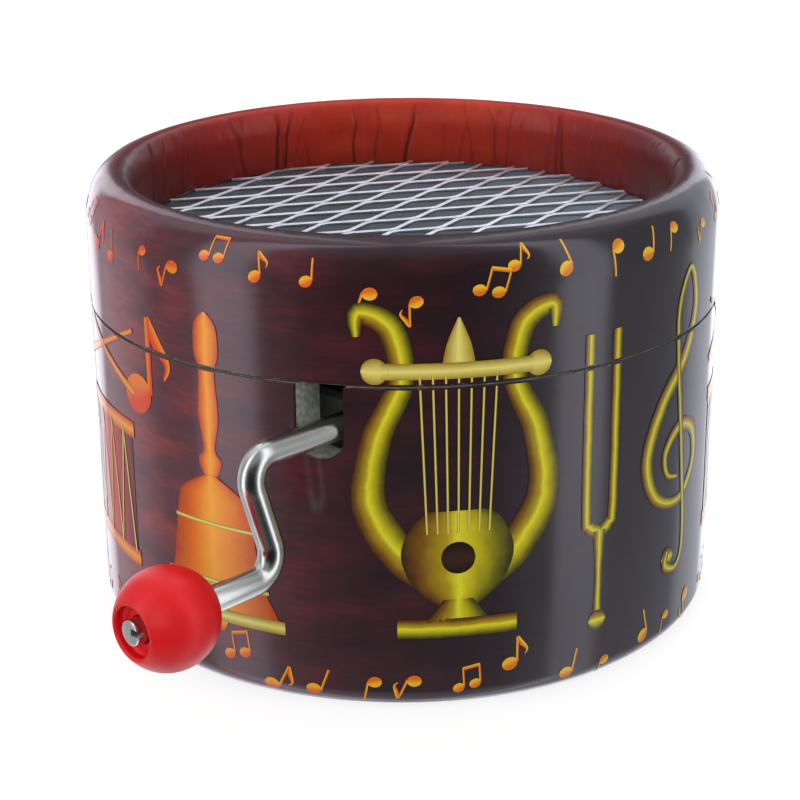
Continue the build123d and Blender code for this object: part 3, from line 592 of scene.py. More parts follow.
def pleat_places(settings):
    """Creases of the turned-in edge: angle, slant, depth, width and where each starts on its way down."""
    pick = random.Random(PLEAT_SEED)
    spacing = 2 * pi / max(settings.pleats, 1)
    pleats = []
    for n in range(settings.pleats):
        place = spacing * (n + pick.uniform(-0.48, 0.48))
        slant = pick.uniform(-0.03, 0.03)
        deep = settings.pleat_depth * pick.uniform(0.1, 1.0)**1.5
        pleats.append((place, slant, deep, pick.uniform(0.0045, 0.009), pick.uniform(0.0, 0.35)))
        if pick.random() < 0.4:
            # a shorter crease runs beside it
            pleats.append((place + pick.uniform(0.015, 0.035), -slant, 0.6 * deep, 0.0045,
                           pick.uniform(0.3, 0.7)))
    return pleats


def turned_in_relief(angle, depth, pleats, puff):
    """How far the turned-in paper stands towards the axis at a share of its way down, and how much painted
    shade it gets.
    """
    slow = noise_round(angle, 2.3, depth * 0.8)
    quick = noise_round(angle, 9.0, depth * 2.1 + 4.0)
    ridges = noise_round(angle, 34.0, depth * 1.5 + 9.0)
    relief = (puff * (0.55 + 0.5 * slow + 0.25 * quick) + 0.045 * ridges) * depth
    dark = 0.0
    for place, slant, deep, width, top in pleats:
        wavering = 0.014 * noise.noise(Vector((place * 9.0, depth * 4.0, 2.0)))
        off = (angle - place - slant * depth * 4 - wavering + pi) % (2 * pi) - pi
        if abs(off) < 0.09 and depth > top:
            grown = min(1.0, (depth - top) * 3.0)
            ridge = 0.25 * bell_curve(off - 2.4 * width, 2.4 * width)
            relief += deep * grown * (ridge - bell_curve(off, width))
            # painted shade at the bottom of the crease
            dark = max(dark, 4.5 * deep * grown * bell_curve(off, 0.7 * width))
    # painted shade: the sheet darkens towards its cut edge, deep in the well above the film
    return relief, min(dark + 0.9 * max(0.0, depth - 0.3) ** 2, 0.85)


def lid_paper(settings, material):
    """Printed paper of the lid: up the wall, over the rim and down to an uneven edge at the grille."""
    pleats = pleat_places(settings)
    outside = rim_side(1, RIM_OUTSIDE, 9, 7)[::-1]
    inside = rim_side(-1, RIM_INSIDE, 9, 9)[1:]
    well = inside[-1][0]
    bottom = FILM_TOP + EDGE_OVER_FILM
    wall = [(well, inside[-1][1] + (bottom - inside[-1][1]) * step / 8, -1.0, 0.0) for step in range(1, 9)]
    folded = inside + wall
    rising = [(SHELL_RADIUS, LID_EDGE, 1.0, 0.0), (SHELL_RADIUS, LID_EDGE + 0.25, 1.0, 0.0),
              (SHELL_RADIUS, (LID_EDGE + outside[0][1]) / 2, 1.0, 0.0)]
    shown = rising + outside + folded
    hidden = [shown[-1], folded[len(inside) - 1], outside[-1], outside[0], rising[0]]
    start = len(rising) + len(outside)
    vertices, creases = [], []
    for step in range(LID_SEGMENTS):
        angle = 2 * pi * step / LID_SEGMENTS
        edge = settings.edge_wander * (noise_round(angle, 6, 1.7) + 0.6 * noise_round(angle, 17, 3.1))
        cut = CUT_WANDER * noise_round(angle, 40, 5.0)
        ring = []
        for row, (radius, height, across, up) in enumerate(shown):
            dark = 0.0
            if row >= start:
                depth = (row - start + 1) / len(folded)
                relief, dark = turned_in_relief(angle, depth, pleats, settings.puff)
                if row >= start + len(inside):
                    height += edge * (row - start - len(inside) + 1) / len(wall)
            else:
                relief = WALL_RELIEF * noise_round(angle, 12, height * 0.4)
            if row == 0:
                height += cut
            ring.append((radius + across * relief, height + up * relief))
            creases.append(dark)
        creases += [0.0] * len(hidden)
        for row, (radius, height, across, up) in enumerate(hidden):
            lowered = edge if row == 0 else (cut if row == len(hidden) - 1 else 0.0)
            ring.append((radius - across * PAPER, height - up * PAPER + lowered))
        vertices += turned_section(ring, angle)
    faces = round_faces(LID_SEGMENTS, len(shown) + len(hidden))
    made = new_mesh_object("lid_paper", vertices, faces, material)
    # the "crease" attribute holds the painted shade of the creases and of the paper deep in the well
    made.data.attributes.new("crease", "FLOAT", "POINT").data.foreach_set("value", creases)
    return outward(made)


def slot_cutter():
    """The round-bottomed slot as a closed solid."""
    steps = 24
    turns = [pi + pi * step / steps for step in range(steps + 1)]
    outline = [(SLOT_X + SLOT_HALF * cos(turn), SLOT_MIDDLE_Z + SLOT_HALF * sin(turn)) for turn in turns]
    outline += [(SLOT_X + SLOT_HALF, RIM_TOP), (SLOT_X - SLOT_HALF, RIM_TOP)]
    count = len(outline)
    vertices = [(x, y, z) for y in (-SHELL_RADIUS - 2, -SHELL_RADIUS / 2) for x, z in outline]
    faces = [tuple(range(count)), tuple(range(2 * count - 1, count - 1, -1))]
    faces += [(n, (n + 1) % count, count + (n + 1) % count, count + n) for n in range(count)]
    return outward(new_mesh_object("slot_cutter", vertices, faces, smooth=False))


def cut_away(made, cutter):
    """Takes the cutter's solid out of an object of one material and removes the cutter."""
    material = made.data.materials[0]
    modifier = made.modifiers.new("Cut", "BOOLEAN")
    modifier.operation = "DIFFERENCE"
    modifier.solver = "EXACT"
    modifier.object = cutter
    mesh = evaluated_mesh(made)
    made.modifiers.remove(modifier)
    made.data = mesh
    bpy.data.objects.remove(cutter)
    mesh.materials.clear()
    mesh.materials.append(material)
    mesh.polygons.foreach_set("material_index", [0] * len(mesh.polygons))
    return made


def body_paper(material):
    """Printed paper of the body, turned under its foot and cut round the slot."""
    foot = foot_points(8)
    shown = foot + [(SHELL_RADIUS, 9.0, 1.0, 0.0), (SHELL_RADIUS, 17.0, 1.0, 0.0),
                    (SHELL_RADIUS, BODY_EDGE - 0.3, 1.0, 0.0), (SHELL_RADIUS, BODY_EDGE, 1.0, 0.0)]
    hidden = [shown[-1], foot[-1], foot[4], foot[0]]
    vertices = []
    for step in range(BODY_SEGMENTS):
        angle = 2 * pi * step / BODY_SEGMENTS
        cut = CUT_WANDER * (noise_round(angle, 40, 9.0) - 0.5)
        ring = []
        for row, (radius, height, across, up) in enumerate(shown):
            relief = WALL_RELIEF * noise_round(angle, 12, height * 0.4)
            trimmed = cut if row == len(shown) - 1 else 0.0
            ring.append((radius + across * relief, height + up * relief + trimmed))
        for row, (radius, height, across, up) in enumerate(hidden):
            trimmed = cut if row == 0 else 0.0
            ring.append((radius - across * PAPER, height - up * PAPER + trimmed))
        vertices += turned_section(ring, angle)
    faces = round_faces(BODY_SEGMENTS, len(shown) + len(hidden))
    made = outward(new_mesh_object("body_paper", vertices, faces, material))
    return outward(cut_away(made, slot_cutter()))


# ---------------------------------------------------------------- print

STROKE_PITCH = 0.45          # a stroke has a point at least this often, so that it hugs the wall


def smooth_run(points):
    """Points (x, y, half width) of an even curve through the given ones."""
    run = []
    for n in range(len(points) - 1):
        before, start, end, after = (points[max(n - 1, 0)], points[n], points[n + 1],
                                     points[min(n + 2, len(points) - 1)])
        steps = max(4, ceil(hypot(end[0] - start[0], end[1] - start[1]) / STROKE_PITCH))
        for step in range(steps):
            t = step / steps
            run.append(tuple(0.5 * (2 * b + (c - a) * t + (2 * a - 5 * b + 4 * c - d) * t * t
                                    + (3 * b - a - 3 * c + d) * t**3)
                             for a, b, c, d in zip(before, start, end, after)))
    return run + [tuple(points[-1])]


def brush_stroke(points):
    """A flat stroke along a curve: its points (x, y, share along), faces, and place across it from 0 to 1."""
    run = smooth_run(points)
    widest = max(half for x, y, half in points)
    columns = max(4, ceil(2 * widest / STROKE_PITCH))
    vertices, faces, across = [], [], []
    for n, (x, y, half) in enumerate(run):
        ahead, behind = run[min(n + 1, len(run) - 1)], run[max(n - 1, 0)]
        dx, dy = ahead[0] - behind[0], ahead[1] - behind[1]
        size = hypot(dx, dy) or 1.0
        half = max(half, 0.02)
        for column in range(columns + 1):
            side = 2 * column / columns - 1
            vertices.append((x - dy / size * half * side, y + dx / size * half * side, n / len(run)))
            across.append(column / columns)
    for n in range(len(run) - 1):
        for column in range(columns):
            low = n * (columns + 1) + column
            faces.append((low, low + columns + 1, low + columns + 2, low + 1))
    return vertices, faces, across


def mirrored(strokes):
    """Strokes and their mirror images."""
    return strokes + [[(-x, y, half) for x, y, half in stroke] for stroke in strokes]


def blob(x, y, wide, tall, tilt=0.0):
    """An ellipse as one stroke."""
    return [(x + wide * cos(a) * cos(tilt), y + wide * cos(a) * sin(tilt), tall * sin(a))
            for a in (pi * (1 - n / 6) for n in range(7))]


def bar(x0, y0, x1, y1, half):
    """A straight stroke of even width."""
    return [(x0, y0, half), (x1, y1, half)]


def lyre():
    """A lyre: two curled arms, a crossbar, seven strings and a footed sound box."""
    arms = mirrored([[(-1.2, 4.6, 1.3), (-4.2, 6.8, 1.5), (-6.6, 11.0, 1.35), (-6.0, 16.2, 1.1),
                      (-4.2, 20.6, 0.95), (-4.9, 24.6, 1.0), (-7.2, 25.8, 0.75), (-7.4, 24.0, 0.3)]])
    box = [[(0, 2.4, 1.2), (0, 4.4, 3.4), (0, 7.0, 4.3), (0, 9.6, 3.3), (0, 10.4, 2.2)]]
    foot = [bar(-4.6, 0.8, 4.6, 0.8, 0.8), [(0, 1.2, 2.6), (0, 3.2, 1.1)]]
    crossbar = [bar(-5.6, 21.4, 5.6, 21.4, 0.62), blob(-6.1, 21.4, 1.0, 1.0), blob(6.1, 21.4, 1.0, 1.0)]
    crossbar.append([(0, 21.4, 1.3), (0, 23.4, 0.9), (0, 25.4, 0.1)])
    strings = [bar(n * 0.78, 8.6, n * 0.95, 21.2, 0.085) for n in range(-3, 4)]
    rose = [blob(0, 6.6, 1.3, 1.3)]
    return {"gold": (arms + box + foot, 0), "bright": (crossbar + strings, 3), "dark": (rose, 2)}


def hand_bell():
    """A hand bell with a long turned handle."""
    cup = [[(0, 0.7, 5.9), (0, 1.8, 5.4), (0, 4.2, 4.3), (0, 8.0, 3.7), (0, 10.6, 3.0), (0, 12.2, 0.5)]]
    lip = [bar(-6.2, 0.7, 6.2, 0.7, 0.55), bar(-4.9, 3.4, 4.9, 3.4, 0.18), bar(-3.8, 8.2, 3.8, 8.2, 0.16)]
    clapper = [blob(0, 0.1, 1.1, 0.9)]
    handle = [[(0, 12.2, 0.7), (0, 13.4, 1.1), (0, 14.4, 0.55), (0, 17.0, 0.95), (0, 20.4, 0.75),
               (0, 22.0, 1.15), (0, 24.2, 1.0), (0, 25.2, 0.1)]]
    return {"orange": (clapper + cup + handle, 1), "bright": (lip, 3)}


def snare_drum():
    """A rope-tensioned drum with two sticks."""
    shell = [bar(0, 0.6, 0, 12.4, 5.4)]
    hoops = [bar(-5.8, 0.9, 5.8, 0.9, 0.7), bar(-5.8, 12.0, 5.8, 12.0, 0.7)]
    cords = [bar(-5.2 + 2.6 * n, 1.4, -3.9 + 2.6 * n, 11.6, 0.13) for n in range(4)]
    cords += [bar(-3.9 + 2.6 * n, 11.6, -2.6 + 2.6 * n, 1.4, 0.13) for n in range(4)]
    sticks = mirrored([[(-6.2, 15.2, 0.42), (0, 17.6, 0.3), (6.4, 20.4, 0.2)]])
    return {"red": (shell, 0), "orange": (hoops + sticks, 1), "bright": (cords, 3)}


def tuning_fork():
    """A tuning fork, upright on its ball."""
    prongs = mirrored([[(0, 8.4, 0.6), (-1.0, 9.1, 0.55), (-1.3, 10.8, 0.46), (-1.3, 24.6, 0.46)]])
    stem = [[(0, 1.6, 0.42), (0, 5.0, 0.34), (0, 8.6, 0.6)], blob(0, 1.0, 0.85, 0.85)]
    return {"gold": (prongs + stem, 0)}


def treble_clef():
    """A treble clef."""
    line = [(0.1, 2.6, 0.2), (-1.5, 3.2, 0.3), (-1.9, 5.2, 0.45), (0.2, 6.8, 0.6), (2.8, 5.8, 0.65),
            (3.2, 2.8, 0.6), (0.6, 0.5, 0.5), (-3.0, 1.6, 0.6), (-4.4, 5.2, 0.75), (-2.6, 9.4, 0.8),
            (0.9, 12.8, 0.75), (2.4, 16.4, 0.6), (1.2, 19.6, 0.35), (-0.5, 17.0, 0.35), (-0.4, 12.6, 0.35),
            (0.7, 5.0, 0.35), (1.6, -3.0, 0.35), (0.6, -5.4, 0.35), (-1.3, -4.8, 0.5), (-1.1, -3.6, 0.3)]
    return {"gold": ([line, blob(-1.0, -4.1, 0.9, 0.9)], 0)}


def single_note(height):
    """A quaver with a flag."""
    return [blob(0, 0, 0.29 * height, 0.24 * height, 0.4),
            bar(0.27 * height, 0.05 * height, 0.27 * height, height, 0.045 * height),
            [(0.27 * height, height, 0.05 * height), (0.42 * height, 0.74 * height, 0.085 * height),
             (0.62 * height, 0.5 * height, 0.05 * height), (0.55 * height, 0.3 * height, 0.015 * height)]]


def plain_note(height):
    """A crotchet."""
    return single_note(height)[:2]


def hanging(strokes):
    """The same strokes turned upside down."""
    return [[(-x, -y, half) for x, y, half in stroke] for stroke in strokes]


def paired_notes(height):
    """Two quavers under one beam."""
    left = plain_note(height)
    right = [[(x + 0.8 * height, y + 0.12 * height, half) for x, y, half in stroke] for stroke in left]
    return left + right + [bar(0.25 * height, 0.98 * height, 1.09 * height, 1.1 * height, 0.085 * height)]


# Each ink's material and its colours from one edge of a stroke to the other
INKS = {
    "gold": ("gold_ink", [(0.0, "#2e2c08"), (0.14, "#6f6a10"), (0.34, "#c2b414"), (0.5, "#e6dc2e"),
                          (0.62, "#b39a12"), (0.85, "#7a4f0e"), (1.0, "#38220a")]),
    "bright": ("bright_gold_ink", [(0.0, "#a58a1e"), (0.5, "#efe27a"), (1.0, "#9c7a18")]),
    "orange": ("orange_ink", [(0.0, "#c84602"), (0.3, "#f08a08"), (0.5, "#fba612"), (0.75, "#ea7405"),
                              (1.0, "#b43a02")]),
    "red": ("red_ink", [(0.0, "#5a0b0c"), (0.3, "#b8191a"), (0.45, "#dd4a36"), (0.7, "#a31414"),
                        (1.0, "#4a090b")]),
    "dark": ("dark_ink", [(0.0, "#1a0d08"), (0.5, "#3a2410"), (1.0, "#170b07")]),
}
# Each motif with its angle round the box in degrees and the height of its foot in mm
MOTIF_PLACES = [(snare_drum, -112, 7.0), (hand_bell, -79, 5.6), (lyre, -36, 6.2), (tuning_fork, -10, 4.4),
                (treble_clef, 11, 12.0), (snare_drum, 40, 7.0), (hand_bell, 72, 5.6), (lyre, 108, 6.2),
                (tuning_fork, 134, 4.4), (treble_clef, 156, 12.0), (snare_drum, 185, 7.0),
                (hand_bell, 216, 5.6)]
# Large notes between the motifs: angle, height of the head, size
LARGE_NOTES = [(-97, 22.4, 6.6), (57, 20.0, 6.0), (171, 21.5, 6.4)]
# The ink's layers lie this far above the paper and above each other, and so do strokes that cross
INK_LIFT = 0.028
LAYER_LIFT = 0.012
STROKE_LIFT = 0.002
STROKES_APART = 6
# The print stops this far from the cut at the seam; no print reaches the tallest height
PRINT_GAP = 0.12
TALLEST = 99.0
PRINT_SPANS = (("body", 0.0, BODY_EDGE - PRINT_GAP), ("lid", LID_EDGE + PRINT_GAP, TALLEST))
# Rows of small notes: what carries them, lowest and highest head in mm, and what its seed adds
NOTE_ROWS = (("lid", 33.4, 36.2, 0), ("body", 2.2, 4.4, 5))


def printed_strokes():
    """Every stroke of the motifs by ink: placed points, layer."""
    inks = {}
    for motif, angle, foot in MOTIF_PLACES:
        for ink, (strokes, layer) in motif().items():
            for stroke in strokes:
                inks.setdefault(ink, []).append((stroke, radians(angle) * SHELL_RADIUS, foot, layer))
    for angle, head, size in LARGE_NOTES:
        for stroke in single_note(size):
            inks.setdefault("note", []).append((stroke, radians(angle) * SHELL_RADIUS, head, 0))
    return inks


def stroke_sheet(name, strokes, low, high, material):
    """One ink's strokes between two heights, laid on the wall as a thin skin."""
    sheet = bmesh.new()
    layer_of_across = sheet.verts.layers.float.new("across")
    layer_of_lift = sheet.verts.layers.float.new("lift")
    for n, (stroke, along, foot, layer) in enumerate(strokes):
        vertices, faces, across = brush_stroke(stroke)
        order = STROKE_LIFT * (n % STROKES_APART)
        made = []
        for (x, y, share), place in zip(vertices, across):
            vertex = sheet.verts.new((along + x, foot + y, 0))
            vertex[layer_of_across] = place
            vertex[layer_of_lift] = INK_LIFT + LAYER_LIFT * (layer + share) + order
            made.append(vertex)
        for face in faces:
            sheet.faces.new([made[corner] for corner in face])
    for height, keep_above in ((low, True), (high, False)):
        everything = sheet.verts[:] + sheet.edges[:] + sheet.faces[:]
        bmesh.ops.bisect_plane(sheet, geom=everything, plane_co=(0, height, 0), plane_no=(0, 1, 0),
                               clear_inner=keep_above, clear_outer=not keep_above)
    if not sheet.faces:
        sheet.free()
        return None
    for vertex in sheet.verts:
        place = wall_place(vertex.co.x, vertex.co.y, vertex[layer_of_lift])
        vertex.co = Vector(place) * MM
    for face in sheet.faces:
        face.smooth = True
        face.normal_update()
        middle = face.calc_center_median()
        if face.normal.dot(Vector((middle.x, middle.y, 0))) < 0:
            face.normal_flip()
    mesh = bpy.data.meshes.new(name)
    sheet.to_mesh(mesh)
    sheet.free()
    mesh.materials.append(material)
    made = bpy.data.objects.new(name, mesh)
    bpy.context.scene.collection.objects.link(made)
    return made


def flat_note(name, strokes):
    """One small note as a flat mesh that the scattering tree picks up."""
    vertices, faces, across = [], [], []
    for stroke in strokes:
        points, quads, places = brush_stroke(stroke)
        first = len(vertices)
        vertices += [(x, y, STROKE_LIFT * share) for x, y, share in points]
        faces += [tuple(corner + first for corner in quad) for quad in quads]
        across += places
    mesh = bpy.data.meshes.new(name)
    mesh.from_pydata([[value * MM for value in vertex] for vertex in vertices], [], faces)
    mesh.attributes.new("across", "FLOAT", "POINT").data.foreach_set("value", across)
    made = bpy.data.objects.new(name, mesh)
    return made


def wall_profile():
    """The outside of the box as a curve that the scattering tree bends flat prints round."""
    points = [(radius + across * INK_LIFT, 0.0, height + up * INK_LIFT)
              for radius, height, across, up in outside_points()]
    curve = bpy.data.curves.new("wall_profile", "CURVE")
    curve.dimensions = "3D"
    spline = curve.splines.new("POLY")
    spline.points.add(len(points) - 1)
    for point, place in zip(spline.points, points):
        point.co = (*[value * MM for value in place], 1.0)
    made = bpy.data.objects.new("wall_profile", curve)
    bpy.context.scene.collection.objects.link(made)
    return made


def note_tree():
    """Scatters notes along a row in the unrolled plane, then bends the row round the wall."""
    tree, given, result = new_geometry_tree("Note Row", [
        ("Notes", "Collection"), ("Profile", "Object"), ("Radius", "Float"), ("Count", "Int"),
        ("Low", "Float"), ("High", "Float"), ("Size", "Float"), ("Seed", "Int"), ("Ink", "Material")])
    value = given.outputs
    girth = add_node(tree, "ShaderNodeMath", {0: value["Radius"], 1: 2 * pi}, operation="MULTIPLY")
    pitch = add_node(tree, "ShaderNodeMath", {0: girth, 1: value["Count"]}, operation="DIVIDE")
    offset = add_node(tree, "ShaderNodeCombineXYZ", {"X": pitch})
    row = add_node(tree, "GeometryNodeMeshLine", {"Count": value["Count"], "Offset": offset}, mode="OFFSET")
    sway = add_node(tree, "ShaderNodeMath", {0: pitch, 1: 0.22}, operation="MULTIPLY")
    back = add_node(tree, "ShaderNodeMath", {0: sway, 1: -1.0}, operation="MULTIPLY")
    lowest = add_node(tree, "ShaderNodeCombineXYZ", {"X": back, "Y": value["Low"]})
    highest = add_node(tree, "ShaderNodeCombineXYZ", {"X": sway, "Y": value["High"]})
    jitter = add_node(tree, "FunctionNodeRandomValue", {
        "Min": lowest, "Max": highest, "Seed": value["Seed"]}, data_type="FLOAT_VECTOR")
    places = add_node(tree, "GeometryNodeSetPosition", {"Geometry": row, "Offset": jitter})
    kinds = add_node(tree, "GeometryNodeCollectionInfo", {
        "Collection": value["Notes"], "Separate Children": True, "Reset Children": True})
    turn = add_node(tree, "FunctionNodeRandomValue", {
        "Min": (0, 0, -0.45), "Max": (0, 0, 0.3), "Seed": value["Seed"]}, data_type="FLOAT_VECTOR")
    size = add_node(tree, "FunctionNodeRandomValue", {
        2: 0.8, 3: 1.2, "Seed": value["Seed"]}, data_type="FLOAT")
    scale = add_node(tree, "ShaderNodeMath", {0: size, 1: value["Size"]}, operation="MULTIPLY")
    spread = add_node(tree, "GeometryNodeInstanceOnPoints", {
        "Points": places, "Instance": kinds, "Pick Instance": True, "Rotation": turn, "Scale": scale})
    flat = add_node(tree, "GeometryNodeRealizeInstances", {"Geometry": spread})
    place = add_node(tree, "ShaderNodeSeparateXYZ", {"Vector": add_node(tree, "GeometryNodeInputPosition")})
    profile = add_node(tree, "GeometryNodeObjectInfo", {
        "Object": value["Profile"]}, transform_space="RELATIVE")
    wall = add_node(tree, "GeometryNodeSampleCurve", {
        "Curves": profile.outputs["Geometry"], "Length": place.outputs["Y"]}, mode="LENGTH",
        use_all_curves=False)
    on_wall = add_node(tree, "ShaderNodeSeparateXYZ", {"Vector": wall.outputs["Position"]})
    angle = add_node(tree, "ShaderNodeMath", {0: place.outputs["X"], 1: value["Radius"]}, operation="DIVIDE")
    cosine = add_node(tree, "ShaderNodeMath", {0: angle}, operation="COSINE")
    sine = add_node(tree, "ShaderNodeMath", {0: angle}, operation="SINE")
    lifted = add_node(tree, "ShaderNodeMath", {
        0: on_wall.outputs["X"], 1: place.outputs["Z"]}, operation="ADD")
    x = add_node(tree, "ShaderNodeMath", {0: lifted, 1: cosine}, operation="MULTIPLY")
    y = add_node(tree, "ShaderNodeMath", {0: lifted, 1: sine}, operation="MULTIPLY")
    bent = add_node(tree, "ShaderNodeCombineXYZ", {"X": x, "Y": y, "Z": on_wall.outputs["Z"]})
    wrapped = add_node(tree, "GeometryNodeSetPosition", {"Geometry": flat, "Position": bent})
    inked = add_node(tree, "GeometryNodeSetMaterial", {"Geometry": wrapped, "Material": value["Ink"]})
    tree.links.new(inked.outputs[0], result.inputs[0])
    return tree


# ---------------------------------------------------------------- grille

# Where a bond of the even rows lies from the middle of the lid, along and across the long way, in mm
LATTICE_SHIFT = (1.567, 1.436)
STRAND_ROWS = 29
STRAND_POINTS = 320
# The middle of the sheet lies this far above the film, and its edge this far inside the film's
GRILLE_CLEARANCE = 0.12
GRILLE_MARGIN = 0.35


def grille_tree():
    """Expanded metal: waved strands side by side, each row half a pitch on, trimmed to a disc."""
    tree, given, result = new_geometry_tree("Expanded Metal", [
        ("Long Way", "Float"), ("Short Way", "Float"), ("Bond", "Float"), ("Strand Width", "Float"),
        ("Strand Thickness", "Float"), ("Rise", "Float"), ("Lean", "Float"), ("Turn", "Float"),
        ("Radius", "Float"), ("Height", "Float"), ("Shift", "Vector"), ("Metal", "Material")])
    value = given.outputs
    reach = add_node(tree, "ShaderNodeMath", {0: value["Radius"], 1: value["Long Way"]}, operation="ADD")
    start = add_node(tree, "ShaderNodeMath", {0: reach, 1: -1.0}, operation="MULTIPLY")
    line = add_node(tree, "GeometryNodeCurvePrimitiveLine", {
        "Start": add_node(tree, "ShaderNodeCombineXYZ", {"X": start}),
        "End": add_node(tree, "ShaderNodeCombineXYZ", {"X": reach})})
    fine = add_node(tree, "GeometryNodeResampleCurve", {"Curve": line, "Count": STRAND_POINTS})
    place = add_node(tree, "ShaderNodeSeparateXYZ", {"Vector": add_node(tree, "GeometryNodeInputPosition")})
    half_pitch = add_node(tree, "ShaderNodeMath", {0: value["Long Way"], 1: 0.5}, operation="MULTIPLY")
    to_and_fro = add_node(tree, "ShaderNodeMath", {
        0: place.outputs["X"], 1: half_pitch}, operation="PINGPONG")
    bond_end = add_node(tree, "ShaderNodeMath", {0: value["Bond"], 1: 0.25}, operation="MULTIPLY")
    bond_start = add_node(tree, "ShaderNodeMath", {0: half_pitch, 1: bond_end}, operation="SUBTRACT")
    climb = add_node(tree, "ShaderNodeMapRange", {
        "Value": to_and_fro, "From Min": bond_end, "From Max": bond_start})
    quarter = add_node(tree, "ShaderNodeMath", {0: value["Short Way"], 1: 0.25}, operation="MULTIPLY")
    swing = add_node(tree, "ShaderNodeMath", {
        0: value["Strand Width"], 1: -0.42, 2: quarter}, operation="MULTIPLY_ADD")
    centred = add_node(tree, "ShaderNodeMath", {0: climb, 1: 2.0, 2: -1.0}, operation="MULTIPLY_ADD")
    wave = add_node(tree, "ShaderNodeMath", {0: centred, 1: swing}, operation="MULTIPLY")
    drop = add_node(tree, "ShaderNodeMath", {0: centred, 1: value["Rise"]}, operation="MULTIPLY")
    sunk = add_node(tree, "ShaderNodeMath", {0: drop, 1: -0.5}, operation="MULTIPLY")
    waved = add_node(tree, "ShaderNodeCombineXYZ", {"X": place.outputs["X"], "Y": wave, "Z": sunk})
    strand = add_node(tree, "GeometryNodeSetPosition", {"Geometry": fine, "Position": waved})
    upright = add_node(tree, "GeometryNodeSetCurveNormal", {"Curve": strand}, mode="Z_UP")
    leaning = add_node(tree, "GeometryNodeSetCurveTilt", {"Curve": upright, "Tilt": value["Lean"]})
    row_pitch = add_node(tree, "ShaderNodeMath", {0: value["Short Way"], 1: 0.5}, operation="MULTIPLY")
    first = add_node(tree, "ShaderNodeMath", {0: row_pitch, 1: -(STRAND_ROWS - 1) / 2}, operation="MULTIPLY")
    start_place = add_node(tree, "ShaderNodeCombineXYZ", {"Y": first})
    row_step = add_node(tree, "ShaderNodeCombineXYZ", {"Y": row_pitch})
    rows = add_node(tree, "GeometryNodeMeshLine", {
        "Count": STRAND_ROWS, "Start Location": start_place, "Offset": row_step}, mode="OFFSET")
    odd = add_node(tree, "ShaderNodeMath", {
        0: add_node(tree, "GeometryNodeInputIndex"), 1: 2.0}, operation="MODULO")
    stagger = add_node(tree, "ShaderNodeMath", {0: odd, 1: half_pitch}, operation="MULTIPLY")
    shifted = add_node(tree, "ShaderNodeVectorMath", {
        0: add_node(tree, "ShaderNodeCombineXYZ", {"X": stagger}), 1: value["Shift"]}, operation="ADD")
    staggered = add_node(tree, "GeometryNodeSetPosition", {"Geometry": rows, "Offset": shifted})
    laid = add_node(tree, "GeometryNodeInstanceOnPoints", {"Points": staggered, "Instance": leaning})
    whole = add_node(tree, "GeometryNodeRealizeInstances", {"Geometry": laid})
    here = add_node(tree, "ShaderNodeVectorMath", {
        0: add_node(tree, "GeometryNodeInputPosition"), 1: (1.0, 1.0, 0.0)}, operation="MULTIPLY")
    away = add_node(tree, "ShaderNodeVectorMath", {0: here}, operation="LENGTH")
    outside = add_node(tree, "ShaderNodeMath", {0: away, 1: value["Radius"]}, operation="GREATER_THAN")
    trimmed = add_node(tree, "GeometryNodeDeleteGeometry", {
        "Geometry": whole, "Selection": outside}, domain="POINT")
    section = add_node(tree, "GeometryNodeCurvePrimitiveQuadrilateral", {
        "Width": value["Strand Width"], "Height": value["Strand Thickness"]})
    solid = add_node(tree, "GeometryNodeCurveToMesh", {
        "Curve": trimmed, "Profile Curve": section, "Fill Caps": True})
    placed = add_node(tree, "GeometryNodeTransform", {
        "Geometry": solid, "Translation": add_node(tree, "ShaderNodeCombineXYZ", {"Z": value["Height"]}),
        "Rotation": add_node(tree, "ShaderNodeCombineXYZ", {"Z": value["Turn"]})})
    finished = add_node(tree, "GeometryNodeSetMaterial", {"Geometry": placed, "Material": value["Metal"]})
    tree.links.new(finished.outputs[0], result.inputs[0])
    return tree


# ---------------------------------------------------------------- knob

# The ball, in mm: bore on the wire, floor of the recess above its middle, and the corners' breadth
KNOB_BORE = 1.05
RECESS_FLOOR = 2.25
BORE_EDGE = 0.05
LIP_SWELL = 0.06
FLOOR_CORNER = 0.2
BALL_STEPS = 48
LIP_STEPS = 6


def knob_profile(settings):
    """Half outline of the ball from its back round to the recess and the bore, in its own frame."""
    radius, recess, edge = settings.radius, settings.recess, settings.edge
    back = sqrt(radius**2 - KNOB_BORE**2)
    points = [(KNOB_BORE, -back + BORE_EDGE)]
    start = atan2(-back, KNOB_BORE + 2 * BORE_EDGE)
    lip = sqrt(radius**2 - (recess + edge) ** 2)
    end = atan2(lip, recess + edge)
    for step in range(BALL_STEPS + 1):
        angle = start + (end - start) * step / BALL_STEPS
        points.append((radius * cos(angle), radius * sin(angle)))
    for step in range(1, LIP_STEPS + 1):
        turn = step / LIP_STEPS * pi / 2
        points.append((recess + edge * (1 - sin(turn)),
                       lip + LIP_SWELL * sin(turn * 2) - edge * (1 - cos(turn))))
    points += [(recess, RECESS_FLOOR + FLOOR_CORNER), (recess - FLOOR_CORNER, RECESS_FLOOR),
               (KNOB_BORE, RECESS_FLOOR)]
    return points


def knob_ball(settings, material):
    """The ball, turned round the wire's end, with its recess towards -Y."""
    segments = 96
    middle = (KNOB_BOX[0] + KNOB_BOX[1]) / 2 / MM
    profile = knob_profile(settings)
    placed = []
    for step in range(segments):
        turned = turned_section(profile, 2 * pi * step / segments)
        placed += [(x + middle.x, middle.y - z, y + middle.z) for x, y, z in turned]
    return outward(new_mesh_object("knob_ball", placed, round_faces(segments, len(profile)), material))


# ---------------------------------------------------------------- crank wire

